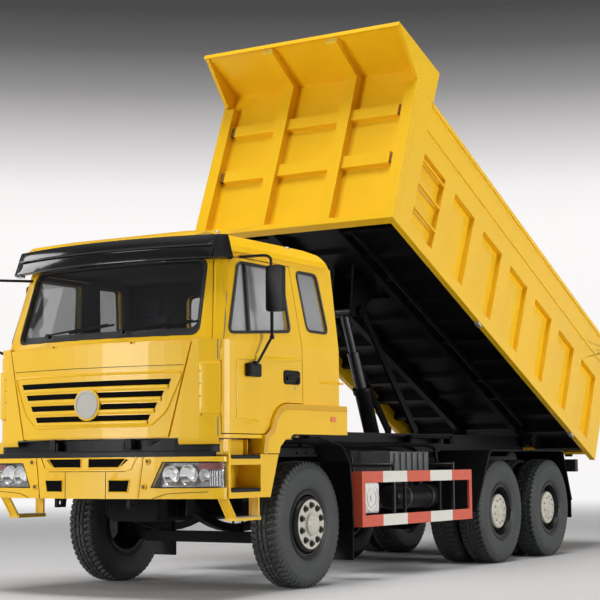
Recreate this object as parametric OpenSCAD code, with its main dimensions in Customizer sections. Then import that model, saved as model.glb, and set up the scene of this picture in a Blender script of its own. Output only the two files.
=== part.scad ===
// Tipper truck with three axles and a forward cab, shown with its load bed half raised.
// X points to the truck's left, -Y to its front and Z up. Stations along the truck (y) are
// counted from the front axle, and truck() moves them so that the origin is under the middle.

/* [Wheels] */
// Outside diameter of every tyre
tyre_d = 1112; // [1040:2:1140]
// Width of one tyre
tyre_w = 300; // [260:2:320]
// Diameter of the rim's outer flange
rim_d = 590; // [540:2:620]
// From the front axle to the first rear axle
wheelbase = 3850; // [3700:10:4200]
// From the first rear axle to the second
bogie_pitch = 1350; // [1250:10:1450]
// Between the middles of the front tyres
front_track = 2010; // [1960:2:2040]
// Between the middles of the outer rear tyres
rear_track = 2200; // [2160:2:2230]
// Between the middles of two twin tyres
twin_pitch = 340; // [325:1:360]
// Radius of a wheel's spindle
spindle_r = 50; // [40:1:60]
// Radial play of every turning pin
play = 0.3; // [0.2:0.1:0.5]

/* [Steering] */
// Distance of a kingpin from the truck's middle
kingpin_x = 845; // [830:1:850]
// Radius of a kingpin
kingpin_r = 24; // [20:1:30]
// How far the steering arms reach behind the axle
steer_arm = 200; // [160:1:240]

/* [Chassis] */
// Outside width over the two frame rails
frame_w = 850; // [800:2:880]
// Height of a frame rail
rail_h = 300; // [260:2:320]
// Width of a frame rail's flanges
rail_flange = 80; // [60:1:90]
// Thickness of the rail's steel
rail_t = 10; // [8:1:14]
// Top of the frame rails above the ground
rail_top = 1236; // [1210:1:1240]
// Height of the tipping subframe on the rails
subframe_h = 164; // [120:2:180]
// Front end of the frame rails
frame_front = -1440; // [-1460:5:-1400]
// Half width of the bumper and the side guards
half_w = 1245; // [1225:1:1255]
// Front face of the bumper at its middle
bumper_front = -1690; // [-1720:1:-1680]
// Underside of the bumper and the steps
bumper_low = 812; // [780:2:840]
// Top of the bumper
bumper_top = 1150; // [1120:2:1160]
// Thickness of the bumper's shell
bumper_t = 40; // [25:1:50]

/* [Cab] */
// Half width of the cab at its waist
cab_half = 1215; // [1190:1:1220]
// Front face of the cab at its middle
cab_front = -1655; // [-1665:1:-1640]
// Rear wall of the cab
cab_rear = 420; // [400:1:440]
// Underside of the cab
cab_low = 1300; // [1290:1:1310]
// Height of the waist line
waist_z = 2100; // [2080:1:2120]
// Height of the rain gutter, where the roof begins
gutter_z = 2850; // [2830:1:2870]
// Height of the roof's top above the gutter
roof_rise = 220; // [200:1:250]
// Thickness of the cab's walls and doors
wall = 70; // [60:1:80]
// Gap round doors and the front flap
gap = 8; // [6:1:10]
// How far the windscreen's foot stands behind the front face
cowl = 85; // [70:1:100]
// Thickness of the window panes
pane = 8; // [6:1:12]
// Thickness of the front flap
flap_t = 30; // [20:1:36]

/* [Load bed] */
// Angle to which the bed is raised
tip = 24.5; // [10:0.5:40]
// Length of the bed outside
bed_l = 5755; // [5650:5:5850]
// Half width of the bed outside
bed_half = 1196; // [1180:1:1220]
// Height of the bed's sides
bed_h = 1584; // [1540:2:1620]
// Thickness of the bed's pressed sides
side_t = 70; // [60:1:80]
// Depth of the pressed panels in the sides
panel_depth = 60; // [40:1:62]
// How far the bed reaches behind its hinge
hinge_back = 561; // [520:1:600]
// Station of the bed's hinge
hinge_y = 6244; // [6220:1:6260]
// Height of the bed's hinge
hinge_z = 1330; // [1320:1:1340]
// Thickness of the bed's plates
plate = 12; // [8:1:16]
// Thickness of the tailgate
gate_t = 60; // [40:1:70]

/* [Hoist] */
// Station of the hoist's foot pin
hoist_y = 3330; // [3300:1:3360]
// Height of the hoist's foot pin
hoist_z = 1100; // [1080:1:1110]
// Outside radius of the hoist's barrel
barrel_r = 85; // [75:1:90]
// Length of the barrel from its foot pin
barrel_l = 880; // [860:5:890]

/* [Hidden] */
$fn = 64;

yellow = [0.93, 0.72, 0.06];
black = [0.06, 0.06, 0.06];
grey = [0.2, 0.2, 0.21];
steel = [0.6, 0.6, 0.62];
cream = [0.84, 0.8, 0.66];
red = [0.78, 0.1, 0.06];
clear = [0.6, 0.68, 0.72, 0.5];

tyre_r = tyre_d / 2;
rim_r = rim_d / 2;
front_x = front_track / 2;
twin_x = rear_track / 2 - twin_pitch / 2;
mid_y = wheelbase;
rear_y = wheelbase + bogie_pitch;
bogie_y = wheelbase + bogie_pitch / 2;
axle_z = tyre_r;
rail_x = frame_w / 2;
rail_in = rail_x - rail_flange;
rail_low = rail_top - rail_h;
subframe_top = rail_top + subframe_h;
gate_gap = 6;
roof_z = gutter_z + roof_rise;
hinge_u = bed_l - hinge_back;
head_t = 110;
frame_rear = hinge_y + 56;
rear_reach = hinge_y + (bed_l + gate_gap + gate_t - hinge_u) * cos(tip) + bed_h * sin(tip);
middle_y = (bumper_front + rear_reach) / 2;

// Puts stations on the part's own origin
module truck() translate([0, -middle_y, 0]) children();

// Puts children drawn in the bed's frame (x, u back along the floor, n up) on the hinge at the raised angle
module bed() truck() translate([0, hinge_y, hinge_z]) rotate([-tip, 0, 0]) translate([0, -hinge_u, 0]) children();

// Extrudes a (y, z) outline along X from x0 to x1
module along_x(x0, x1) translate([x0, 0, 0]) rotate([90, 0, 90]) linear_extrude(x1 - x0) children();

// Extrudes an (x, z) outline along Y from y0 to y1
module along_y(y0, y1) translate([0, y1, 0]) rotate([90, 0, 0]) linear_extrude(y1 - y0) children();

// Cylinder along X
module bar_x(x0, x1, r) translate([x0, 0, 0]) rotate([0, 90, 0]) cylinder(h = x1 - x0, r = r);

// Turned form about the X axis from an outline of (radius, x) points
module turned(p) rotate([0, 90, 0]) rotate_extrude() polygon(p);

// Round bar between two points
module rod(a, b, r) let (d = b - a, l = norm(d))
    translate(a) rotate([0, acos(d[2] / l), atan2(d[1], d[0])]) cylinder(h = l, r = r);

// Box given by its two corners
module block(a, b) translate(a) cube(b - a);

// Children and their image on the truck's other side
module both() {
    children();
    mirror([1, 0, 0]) children();
}

function unit(v) = v / norm(v);

// Points on an arc about c
function arc(c, r, a0, a1, n = 6) =
    [for (i = [0 : n]) c + r * [cos(a0 + (a1 - a0) * i / n), sin(a0 + (a1 - a0) * i / n)]];

// Counter-clockwise outline moved inwards by d
function inset(p, d) = [for (i = [0 : len(p) - 1])
    let (b = p[i], u = unit(b - p[(i + len(p) - 1) % len(p)]), v = unit(p[(i + 1) % len(p)] - b))
    b + d * ([-u[1], u[0]] + [-v[1], v[0]]) / (1 + u * v)];

// Outline whose corners are rounded by radius r
function soft(p, r, n = 4) = [for (i = [0 : len(p) - 1])
    let (b = p[i], u = unit(p[(i + len(p) - 1) % len(p)] - b), v = unit(p[(i + 1) % len(p)] - b),
         half = acos(u * v) / 2, c = b + unit(u + v) * r / sin(half), s = b + u * r / tan(half) - c,
         a = atan2(s[1], s[0]), turn = -sign(u[0] * v[1] - u[1] * v[0]) * (180 - 2 * half))
    for (k = [0 : n]) c + r * [cos(a + turn * k / n), sin(a + turn * k / n)]];

// Rectangle from corner a to corner b
function rect(a, b) = [a, [b[0], a[1]], b, [a[0], b[1]]];

// Outline and its mirror image joined into one about the middle plane
function mirrored(p) = concat(p, [for (i = [len(p) - 1 : -1 : 0]) [-p[i][0], p[i][1]]]);

// Wheels

bead_r = rim_r - 20;
bead_half = tyre_w * 0.36;
rim_t = 14;
hub_r = 110;

// Tyre about the X axis, its middle at x = 0
module tyre() let (w = tyre_w / 2, shoulder = [
        [rim_r + 2, bead_half], [rim_r + 30, w - 14], [(rim_r + tyre_r) / 2, w],
        [tyre_r - 60, w - 10], [tyre_r - 22, w - 26], [tyre_r, w - 60]])
    turned(concat([[bead_r, bead_half]], shoulder,
        [for (i = [len(shoulder) - 1 : -1 : 0]) [shoulder[i][0], -shoulder[i][1]]], [[bead_r, -bead_half]]));

// Rim barrel with its two flanges
module rim() turned([
    [bead_r - rim_t, -bead_half - rim_t], [rim_r, -bead_half - rim_t], [rim_r, -bead_half], [bead_r, -bead_half],
    [bead_r, bead_half], [rim_r, bead_half], [rim_r, bead_half + rim_t], [bead_r - rim_t, bead_half + rim_t]]);

// Knuckle's web, which the front hub clears
web_x = 67;
web_t = 40;
hub_back = front_x - kingpin_x - web_x - web_t - 8;
front_disc_r = 225;
front_disc_x = tyre_w / 2 - 10;

// Front wheel: rim, dished disc standing outwards and hub
module front_wheel() color(cream) difference() {
    union() {
        rim();
        turned([[bead_r - rim_t, 25], [bead_r - rim_t, 50], [front_disc_r + 18, front_disc_x],
            [front_disc_r, front_disc_x + 18], [hub_r - 10, front_disc_x + 18], [hub_r - 10, front_disc_x],
            [front_disc_r - 8, front_disc_x], [front_disc_r, front_disc_x - 12]]);
        turned([[0, -hub_back], [hub_r, -hub_back], [hub_r, front_disc_x + 18], [hub_r - 10, front_disc_x + 26],
            [0, front_disc_x + 30]]);
    }
    bar_x(-hub_back - 1, front_disc_x - 10, spindle_r + play);
}

rear_hub_r = 195;
rear_hub_x = tyre_w / 2 - 45 + twin_pitch / 2;

// Twin rear wheels: two rims whose dished discs meet at the hub between the tyres
module twin_wheels() color(grey) difference() {
    union() {
        for (s = [-1, 1]) {
            translate([s * twin_pitch / 2, 0, 0]) rim();
            turned([[bead_r - rim_t, s * 95], [bead_r - rim_t, s * 75], [rear_hub_r, s * 2], [rear_hub_r, s * 16]]);
        }
        turned([[0, -90], [rear_hub_r - 40, -90], [rear_hub_r, -40], [rear_hub_r, rear_hub_x - 40],
            [rear_hub_r - 20, rear_hub_x - 15], [rear_hub_r - 60, rear_hub_x], [0, rear_hub_x]]);
    }
    bar_x(-91, rear_hub_x - 40, spindle_r + play);
}

module twin_tyres() color(black) for (s = [-1, 1]) translate([s * twin_pitch / 2, 0, 0]) tyre();

// Puts a wheel drawn for the left side on axle station y
module wheel_at(side, x, y) truck() mirror([side < 0 ? 1 : 0, 0, 0]) translate([x, y, axle_z]) children();

module front_tyre_left() wheel_at(1, front_x, 0) color(black) tyre();
module front_tyre_right() wheel_at(-1, front_x, 0) color(black) tyre();
module front_wheel_left() wheel_at(1, front_x, 0) front_wheel();
module front_wheel_right() wheel_at(-1, front_x, 0) front_wheel();
module mid_tyres_left() wheel_at(1, twin_x, mid_y) twin_tyres();
module mid_tyres_right() wheel_at(-1, twin_x, mid_y) twin_tyres();
module mid_wheels_left() wheel_at(1, twin_x, mid_y) twin_wheels();
module mid_wheels_right() wheel_at(-1, twin_x, mid_y) twin_wheels();
module rear_tyres_left() wheel_at(1, twin_x, rear_y) twin_tyres();
module rear_tyres_right() wheel_at(-1, twin_x, rear_y) twin_tyres();
module rear_wheels_left() wheel_at(1, twin_x, rear_y) twin_wheels();
module rear_wheels_right() wheel_at(-1, twin_x, rear_y) twin_wheels();

// Axles and steering

eye_h = 78;
eye_r = 55;
ear_h = 50;
ear_gap = 2;
beam_low = 380;
beam_top = 480;
beam_half = 45;

// Forged front beam that drops between its kingpins
module front_axle() color(grey) truck() {
    along_y(-beam_half, beam_half) polygon(mirrored([
        [kingpin_x - 230, beam_low], [kingpin_x - eye_r - 12, axle_z - eye_h], [kingpin_x, axle_z - eye_h],
        [kingpin_x, axle_z + eye_h], [kingpin_x - eye_r - 12, axle_z + eye_h], [kingpin_x - 230, beam_top]]));
    both() translate([kingpin_x, 0, axle_z]) {
        translate([0, 0, -eye_h]) cylinder(h = 2 * eye_h, r = eye_r);
        translate([0, 0, -eye_h - ear_h]) cylinder(h = 2 * (eye_h + ear_h), r = kingpin_r);
    }
}

ball_r = 14;
ball_z = -eye_h - ear_gap - ear_h;
tie_h = 36;

// Steering knuckle: two ears on the kingpin, the wheel's spindle and the steering arm
module knuckle() color(grey) difference() {
    union() {
        for (s = [-1, 1]) translate([0, 0, s * (eye_h + ear_gap + ear_h / 2)]) {
            cylinder(h = ear_h, r = eye_r + 5, center = true);
            translate([0, -eye_r, -ear_h / 2]) cube([web_x + web_t, 2 * eye_r, ear_h]);
        }
        translate([web_x, -eye_r, -eye_h - ear_gap - ear_h]) cube([web_t, 2 * eye_r, 2 * (eye_h + ear_gap + ear_h)]);
        bar_x(web_x, front_x - kingpin_x + front_disc_x - 14, spindle_r);
        translate([-30, 0, ball_z]) cube([60, steer_arm, ear_h]);
        translate([0, steer_arm, ball_z]) cylinder(h = ear_h, r = 30);
        translate([0, steer_arm, ball_z - tie_h - ear_gap]) cylinder(h = tie_h + ear_gap, r = ball_r);
    }
    cylinder(h = 4 * (eye_h + ear_h), r = kingpin_r + play, center = true);
}

module knuckle_left() truck() translate([kingpin_x, 0, axle_z]) knuckle();
module knuckle_right() truck() mirror([1, 0, 0]) translate([kingpin_x, 0, axle_z]) knuckle();

// Track rod that ties the two steering arms together
module tie_rod() color(grey) truck() translate([0, steer_arm, axle_z + ball_z - ear_gap - tie_h]) difference() {
    union() {
        both() translate([kingpin_x, 0, 0]) cylinder(h = tie_h, r = 34);
        translate([0, 0, tie_h / 2]) bar_x(-kingpin_x + 20, kingpin_x - 20, 17);
    }
    both() translate([kingpin_x, 0, -1]) cylinder(h = tie_h + 2, r = ball_r + play);
}

tube_r = 75;
banjo_r = 215;
pinion_reach = 330;
spring_half = 45;
spring_x = rail_x - rail_flange / 2;
spring_seat = axle_z + tube_r + 23;

// Drive axle turned about X: spindles, tubes and the round housing of the differential, with its nose and pads
module drive_axle() {
    turned(mirrored_profile([[0, twin_x + rear_hub_x - 44], [spindle_r, twin_x + rear_hub_x - 44], [spindle_r, twin_x - 110],
        [tube_r, twin_x - 110], [tube_r, 380], [tube_r + 35, 300], [banjo_r, 110]]));
    rotate([90, 0, 0]) cylinder(h = pinion_reach, r = 95);
    both() block([spring_x - spring_half, -70, 0], [spring_x + spring_half, 70, spring_seat - axle_z]);
}

// Profile of (radius, x) points and its image on the other side of x = 0
function mirrored_profile(p) = concat(p, [for (i = [len(p) - 1 : -1 : 0]) [p[i][0], -p[i][1]]]);

module rear_axles() color(grey) truck() for (y = [mid_y, rear_y]) translate([0, y, axle_z]) drive_axle();

leaf_pack = 70;
front_spring_l = 800;
front_spring_rise = 240;
rear_pack_top = spring_seat + 150;

// Leaf packs: arched at the front, and thick in the middle of the rear bogie
module leaf_springs() color(black) truck() let (
        r = (pow(front_spring_l, 2) + pow(front_spring_rise, 2)) / (2 * front_spring_rise),
        a = asin(front_spring_l / r), c = [0, beam_top + r]) {
    both() {
        along_x(spring_x - spring_half, spring_x + spring_half)
            polygon(concat(arc(c, r, -90 - a, -90 + a, 12), arc(c, r - leaf_pack, -90 + a, -90 - a, 12)));
        along_x(spring_x - spring_half, spring_x + spring_half) polygon([
            [mid_y - 90, spring_seat], [rear_y + 90, spring_seat], [rear_y + 90, spring_seat + 40],
            [bogie_y + 150, rear_pack_top], [bogie_y - 150, rear_pack_top], [mid_y - 90, spring_seat + 40]]);
    }
}

// Frame

cross_h = 140;
cross_t = 90;
// Stations of the frame's cross members
cross_y = [frame_front + 60, 1500, bogie_y, frame_rear - 60];
hanger_t = 10;
hoist_pin_r = 30;
// The hoist's foot lugs
foot_x = 78;
lug_t = 24;
// Front tow eyes and the rear coupling: place and bore
tow_x = rail_x - rail_flange / 2;
tow_y = -1550;
tow_z = 775;
tow_t = 30;
tow_r = 25;
coupling_y = frame_rear + 35;
coupling_z = 1090;
coupling_h = 80;
coupling_r = 21;

// Frame: two channels open to the inside, cross members, spring hangers, bogie saddles and the hoist's foot pin
module frame_rails() color(black) truck() {
    both() difference() {
        block([rail_in, frame_front, rail_low], [rail_x, frame_rear, rail_top]);
        block([rail_in - 1, frame_front - 1, rail_low + rail_t], [rail_x - rail_t, frame_rear + 1, rail_top - rail_t]);
    }
    for (y = cross_y) block([rail_t - rail_x, y - cross_t / 2, rail_top - rail_t - cross_h],
        [rail_x - rail_t, y + cross_t / 2, rail_top - rail_t]);
    both() {
        for (s = [-1, 1]) difference() {
            block([spring_x - spring_half - hanger_t, s * front_spring_l - 60, beam_top + front_spring_rise - leaf_pack],
                [spring_x + spring_half + hanger_t, s * front_spring_l + 60, rail_low]);
            block([spring_x - spring_half, s * front_spring_l - 61, beam_top],
                [spring_x + spring_half, s * front_spring_l + 61, rail_low - 20]);
        }
        block([spring_x - spring_half, bogie_y - 150, rear_pack_top], [spring_x + spring_half, bogie_y + 150, rail_low]);
    }
    block([rail_t - rail_x, hoist_y - 60, rail_low + rail_t], [rail_x - rail_t, hoist_y + 60, hoist_z - 85]);
    both() {
        along_x(foot_x, foot_x + lug_t) polygon([[hoist_y - 60, hoist_z - 86], [hoist_y + 60, hoist_z - 86],
            [hoist_y + 60, hoist_z], [hoist_y - 60, hoist_z]]);
        translate([0, hoist_y, hoist_z]) bar_x(foot_x, foot_x + lug_t, 60);
    }
    translate([0, hoist_y, hoist_z]) bar_x(-foot_x - lug_t, foot_x + lug_t, hoist_pin_r);
    both() intersection() {
        block([rail_in, bumper_front, rail_low], [rail_x, frame_front, rail_low + 110]);
        translate([0, 0, rail_low]) linear_extrude(110) polygon(bumper_plan(bumper_t));
    }
    both() difference() {
        along_x(tow_x - tow_t / 2, tow_x + tow_t / 2) polygon([[tow_y - 50, tow_z - 40], [tow_y + 60, tow_z - 40],
            [tow_y + 90, rail_low], [tow_y - 50, rail_low]]);
        translate([0, tow_y, tow_z]) bar_x(tow_x - tow_t, tow_x + tow_t, tow_r);
    }
    difference() {
        block([-80, frame_rear - 30, coupling_z - coupling_h / 2], [80, coupling_y + 45, coupling_z + coupling_h / 2]);
        translate([0, coupling_y, coupling_z - coupling_h]) cylinder(h = 2 * coupling_h, r = coupling_r);
    }
    both() translate([0, pivot_y, pivot_z]) bar_x(pivot_x - 40, pivot_x + 40, pivot_r);
    both() along_x(pivot_x - 60, pivot_x - 40) polygon([[frame_front + 160, rail_top - 150], [frame_front + 160, rail_top],
        [pivot_y + 30, pivot_z + 30], [pivot_y - 28, pivot_z + 30], [pivot_y - 28, pivot_z - 30],
        [step_back + 30, step_top + 15], [step_back + 30, bumper_top - 30], [frame_front, rail_low + 60]]);
}

// Cab pivot: pins on the frame's front brackets, in line under the cab's front edge
pivot_y = cab_front + 55;
pivot_z = cab_low - 55;
pivot_r = 20;
pivot_x = rail_x - 20;
hinge_pin_r = 35;
hinge_ear_x = rail_x + 12;
hinge_ear_t = 40;
subframe_front = hinge_y - hinge_u + head_t + 20;

// Tipping subframe: two box rails with cross members and the pins of the bed's hinge
module subframe() color(black) truck() {
    both() block([rail_in, subframe_front, rail_top], [rail_x, frame_rear, subframe_top]);
    for (y = [subframe_front + 60, 5300]) block([-rail_in, y - 40, rail_top], [rail_in, y + 40, rail_top + 100]);
    both() translate([0, hinge_y, hinge_z]) bar_x(rail_x, hinge_ear_x + hinge_ear_t + 8, hinge_pin_r);
}

// Engine, gearbox and radiator between the rails, on mounts that reach the rails' webs
module engine() color(grey) truck() {
    block([-330, -1300, 1000], [330, -1180, 1290]);
    rod([0, -1190, 1130], [0, -1040, 1130], 40);
    along_y(-1050, 250) polygon(soft(rect([-270, 600], [270, 1230]), 60));
    along_y(250, 1250) polygon(soft(rect([-180, 740], [180, 1080]), 60));
    both() for (y = [-700, 100]) block([200, y - 50, 980], [rail_x - rail_t, y + 50, 1040]);
}

shaft_r = 55;

// Shafts from the gearbox to the first drive axle and on to the second
module propshafts() color(grey) truck() {
    rod([0, 1259, 899], [0, mid_y - pinion_reach - 9, axle_z], shaft_r);
    rod([0, mid_y + banjo_r + 0.3, axle_z], [0, rear_y - pinion_reach - 0.3, axle_z], shaft_r);
}

// Front end

front_arc_r = 3826;
bumper_corner = 108;
bumper_end = -1400;

// Plan of the cab and the bumper: a wide front arc, rounded front corners and a flat rear, counter-clockwise
function plan(half, front, back, r) = let (
        a = asin((half - r) / (front_arc_r - r)),
        c = [half - r, front + front_arc_r - (front_arc_r - r) * cos(a)])
    concat(arc([0, front + front_arc_r], front_arc_r, -90 - a, -90 + a, 14), arc(c, r, -90 + a, 0, 6),
        [[half, back], [-half, back]], arc([-c[0], c[1]], r, 180, 270 - a, 6));

// Plan of the bumper, moved in by d
function bumper_plan(d) = plan(half_w - d, bumper_front + d, bumper_end, max(bumper_corner - d, 8));

lamp_in = 640;
lamp_low = 900;
lamp_high = 1108;
lamp_gap = 0.3;

// Lamp outline seen from the front
lamp_shape = [[lamp_in, lamp_low], [half_w + 20, lamp_low], [half_w + 20, lamp_high], [lamp_in + 110, lamp_high]];

// Bumper shell with two air slots, two tow openings and the lamp pockets
module front_bumper() color(yellow) truck() difference() {
    translate([0, 0, bumper_low]) linear_extrude(bumper_top - bumper_low) polygon(bumper_plan(0));
    translate([0, 0, bumper_low - 1]) linear_extrude(bumper_top - bumper_low + 2) polygon(bumper_plan(bumper_t));
    both() {
        along_y(bumper_front - 50, bumper_end + 200) polygon(lamp_shape);
        along_y(bumper_front - 50, bumper_end) polygon([[40, 1078], [370, 1078], [440, 1132], [40, 1132]]);
        along_y(bumper_front - 50, bumper_end) polygon([[250, 872], [430, 872], [450, 960], [250, 960]]);
    }
    along_x(-half_w - 1, half_w + 1) polygon(rect([bumper_end - 20, bumper_low - 2], [bumper_end + 50, bumper_top + 2]));
}

// Headlamp units that fill the bumper's pockets
module headlamps() color(steel) truck() both() intersection() {
    difference() {
        translate([0, 0, lamp_low + lamp_gap]) linear_extrude(lamp_high - lamp_low - 2 * lamp_gap) polygon(bumper_plan(3));
        translate([0, 0, lamp_low]) linear_extrude(lamp_high - lamp_low) polygon(bumper_plan(bumper_t + 60));
    }
    along_y(bumper_front - 50, bumper_end - 30) polygon(inset(lamp_shape, lamp_gap));
}

step_top = 1192;
// Where the step ends behind, at the middle of the truck
step_back = bumper_front + 130;

upstand_top = cab_low - 15;

// Dark step on the bumper's top edge, with an upstand behind that has gaps for the cab's pivots
module bumper_step() color(grey) truck() difference() {
    union() {
        translate([0, 0, bumper_top]) linear_extrude(step_top - bumper_top) polygon(bumper_plan(6));
        translate([0, 0, bumper_top]) linear_extrude(upstand_top - bumper_top) polygon(bumper_plan(118));
    }
    translate([0, 0, bumper_top - 1]) linear_extrude(upstand_top - bumper_top + 2) polygon(bumper_plan(130));
    both() block([pivot_x - 70, bumper_front, step_top], [pivot_x + 45, bumper_end, upstand_top + 1]);
    along_x(-half_w, half_w) polygon(rect([bumper_end - 90, bumper_top - 2], [bumper_end + 50, upstand_top + 2]));
}

step_in = 960;
step_front = bumper_end + 12;
step_split = 1170;
step_wall = 12;
tread_t = 20;

// Front curve of the wheel arch, from the steps' foot up to the flat of the flare
arch_foot = [-773, bumper_low];
arch_split = [-640, step_split];
arch_top = 1340;
arch_flat = -400;
flare_top = 1600;
flare_x = half_w;

// Steps below each door: a box with two open treads, and a hoop hanging under it
module cab_steps() color(yellow) truck() both() {
    difference() {
        along_x(step_in, flare_x - 5) polygon([[step_front, bumper_low], arch_foot, arch_split, [step_front, step_split]]);
        along_x(step_in + 60, flare_x + 1) polygon(rect([step_front + 30, bumper_low + 60], [-920, bumper_low + 270]));
        along_x(step_in + 60, flare_x + 1) polygon(rect([step_front + 30, bumper_low + 330], [-920, step_split + 1]));
        along_x(step_in - 1, step_in + 40) polygon(rect([step_front + 40, bumper_low - 1], [-900, step_split - 60]));
    }
    for (x = [1130, 1205]) {
        rod([x, -1370, bumper_low + 5], [x, -1240, 640], 13);
        rod([x, -910, bumper_low + 5], [x, -910, 640], 13);
    }
    block([1110, -1255, 628], [1225, -895, 652]);
    block([rail_x, -1130, 1000], [step_in + 45, -1070, 1060]);
}

guard_t = 8;

// Bent sheet that follows a line of (y, z) points, with its thickness laid below
module bent_sheet(p, t) let (n = len(p) - 1)
    for (i = [0 : n - 1]) let (d = unit(p[i + 1] - p[i]), q = t * [d[1], -d[0]], e = (i < n - 1 ? t / 2 : 0) * d)
        polygon([p[i], p[i + 1] + e, p[i + 1] + q + e, p[i] + q]);

// Black wheel covers: a bent sheet behind each front wheel and one over each pair of twin wheels
module mudguards() color(black) truck() both() {
    along_x(850, 1160) bent_sheet([[160, 1318], [560, 1250], [690, 1100], [735, 800], [752, 480]], guard_t);
    block([rail_x, 620, 1100], [850, 660, 1150]);
    block([850, 620, 1100], [870, 690, 1150]);
    along_x(640, half_w) bent_sheet([[mid_y - 660, 570], [mid_y - 280, 1212], [rear_y + 380, 1212], [rear_y + 630, 630]], guard_t);
    for (y = [mid_y, rear_y]) block([rail_x, y - 30, 1150], [700, y + 30, 1204]);
}

guard_x = 1220;
guard_y0 = 770;
guard_y1 = 3090;
guard_bar = 105;
guard_low = 500;
guard_top = 1010;

// Side guards: two flat bars on each side with end plates and posts, on arms from the frame
module side_guards() color(red) truck() both() {
    for (z = [guard_low, guard_top - guard_bar]) block([guard_x, guard_y0, z], [half_w, guard_y1, z + guard_bar]);
    for (y = [guard_y0, guard_y1 - 60]) block([guard_x, y, guard_low], [half_w, y + 60, guard_top]);
    block([guard_x - 240, guard_y0, guard_low], [half_w, guard_y0 + 25, guard_top]);
    for (y = [1450, 2720]) {
        block([guard_x - 30, y - 15, guard_low], [guard_x, y + 15, 1090]);
        translate([0, y, 1065]) bar_x(rail_x, guard_x - 10, 22);
    }
}

tank_y = [1560, 2640];

// Fuel tank on the right side, on brackets from the rail
module fuel_tank() color(grey) truck() {
    along_y(tank_y[0], tank_y[1]) polygon(soft(rect([-1150, 540], [-500, 1020]), 70));
    for (y = [tank_y[0] + 150, tank_y[1] - 200]) block([-520, y, 940], [-rail_x, y + 60, 1000]);
}

box_y = [1810, 2630];

// Battery box beside the left rail, with ribs on its cover
module battery_box() color(grey) truck() {
    block([rail_x, box_y[0], 1000], [980, box_y[1], 1200]);
    for (i = [0 : 5]) block([980, box_y[0] + 60 + i * 125, 1010], [1000, box_y[0] + 110 + i * 125, 1190]);
}

air_tank_r = 115;

// Air reservoirs under the battery box, on straps, and the round filter in front of them
module air_tanks() color(black) truck() {
    for (x = [700, 1020]) {
        translate([x, box_y[0] - 100, 750]) rotate([-90, 0, 0]) cylinder(h = 850, r = air_tank_r);
        for (y = [box_y[0] + 120, box_y[0] + 600]) block([x - 90, y, 750 + air_tank_r - 45], [x - 40, y + 50, 1000]);
    }
}

// Tail lamps on arms from the frame's end
module tail_lamps() color(red) truck() both() {
    block([rail_x, frame_rear - 135, 1010], [1060, frame_rear - 95, 1070]);
    block([900, frame_rear - 160, 960], [1180, frame_rear - 80, 1110]);
}

// Cab

corner_r = 250;

function cab_plan(front) = plan(cab_half, front, cab_rear, corner_r);

// Lower half of the cab, its walls moved in by d
module cab_lower(d, low) translate([0, 0, low]) linear_extrude(waist_z - low) polygon(inset(cab_plan(cab_front), d));

taper_x = 0.93;
taper_y = 0.88;

// Upper half of the cab, which narrows towards the roof
module cab_upper(d) translate([0, cab_rear, waist_z]) linear_extrude(gutter_z - waist_z, scale = [taper_x, taper_y], slices = 1, segments = 0, $fn = 12)
    translate([0, -cab_rear]) polygon(inset(cab_plan(cab_front + cowl), d));

// Whole cab below the gutter, its walls moved in by d
module cab_form(d, low) {
    cab_lower(d, low);
    cab_upper(d);
}

floor_t = 80;
door_front = -1405;
door_rear = -200;
door_low = 1330;
door_top = gutter_z - 38;

// Curve of the flare's outer edge, from the split below up to its flat top
flare_edge = concat([[-880, step_split + 5]], [[-850, door_low - 10]], arc([-470, door_low - 10], flare_top - door_low + 10, 155, 90, 5));

// Door outline in (y, z), inside its gap
function door_shape(d) = let (c = [-470, door_low - 10], r = flare_top - door_low + 10 + d) concat(
    [[door_front + d, waist_z], [door_front + d, door_low + d]],
    [[c[0] - r * cos(4), door_low + d]], arc(c, r, 165, 90, 5),
    [[door_rear - d, flare_top + d], [door_rear - 10 - d, waist_z], [door_rear - 95 - d, door_top - d], [door_front + 190 + d, door_top - d]]);

// Door hinges: a vertical pin near the skin, and the lower and upper end of each knuckle
door_pin = [cab_half - 38, door_front + 3];
door_pin_r = 11;
door_pins = [[1480, 1580], [1930, 2030]];

window_shape = soft([[-1290, waist_z + 60], [-390, waist_z + 125], [-440, gutter_z - 85], [-1180, gutter_z - 85]], 30);
quarter_shape = soft([[-100, waist_z + 150], [250, waist_z + 150], [150, gutter_z - 75], [-190, gutter_z - 75]], 40);
screen_shape = soft(mirrored([[cab_half - 245, waist_z + 50], [cab_half - 290, gutter_z - 60]]), 60);
rear_shape = soft(mirrored([[450, waist_z + 130], [450, gutter_z - 150]]), 60);
screen_back = -900;

// Flare over the front wheel
module flare() along_x(cab_half - 130, flare_x) polygon(concat(flare_edge,
    [[cab_rear + 90, flare_top], [cab_rear + 90, arch_top]],
    [[arch_flat, arch_top], [-540, 1290], [-620, step_split + 60], [-636, step_split + 5]]));

flap_half_top = 965;
flap_half_low = 770;
flap_top = waist_z - 20;
flap_low = 1312;
flap_shape = mirrored([[flap_half_low, flap_low], [flap_half_top, flap_top]]);
flap_gap = 14;
// Hinge of the flap behind its top edge, in (y, z), and its arms
flap_pin = [cab_front + 85, flap_top + 2];
flap_pin_r = 9;
flap_arms = [420];
// Rebate behind the flap's top edge, which passes the cab's ledge as the flap lifts
rebate_h = 12;
rebate_d = 16;

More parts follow.
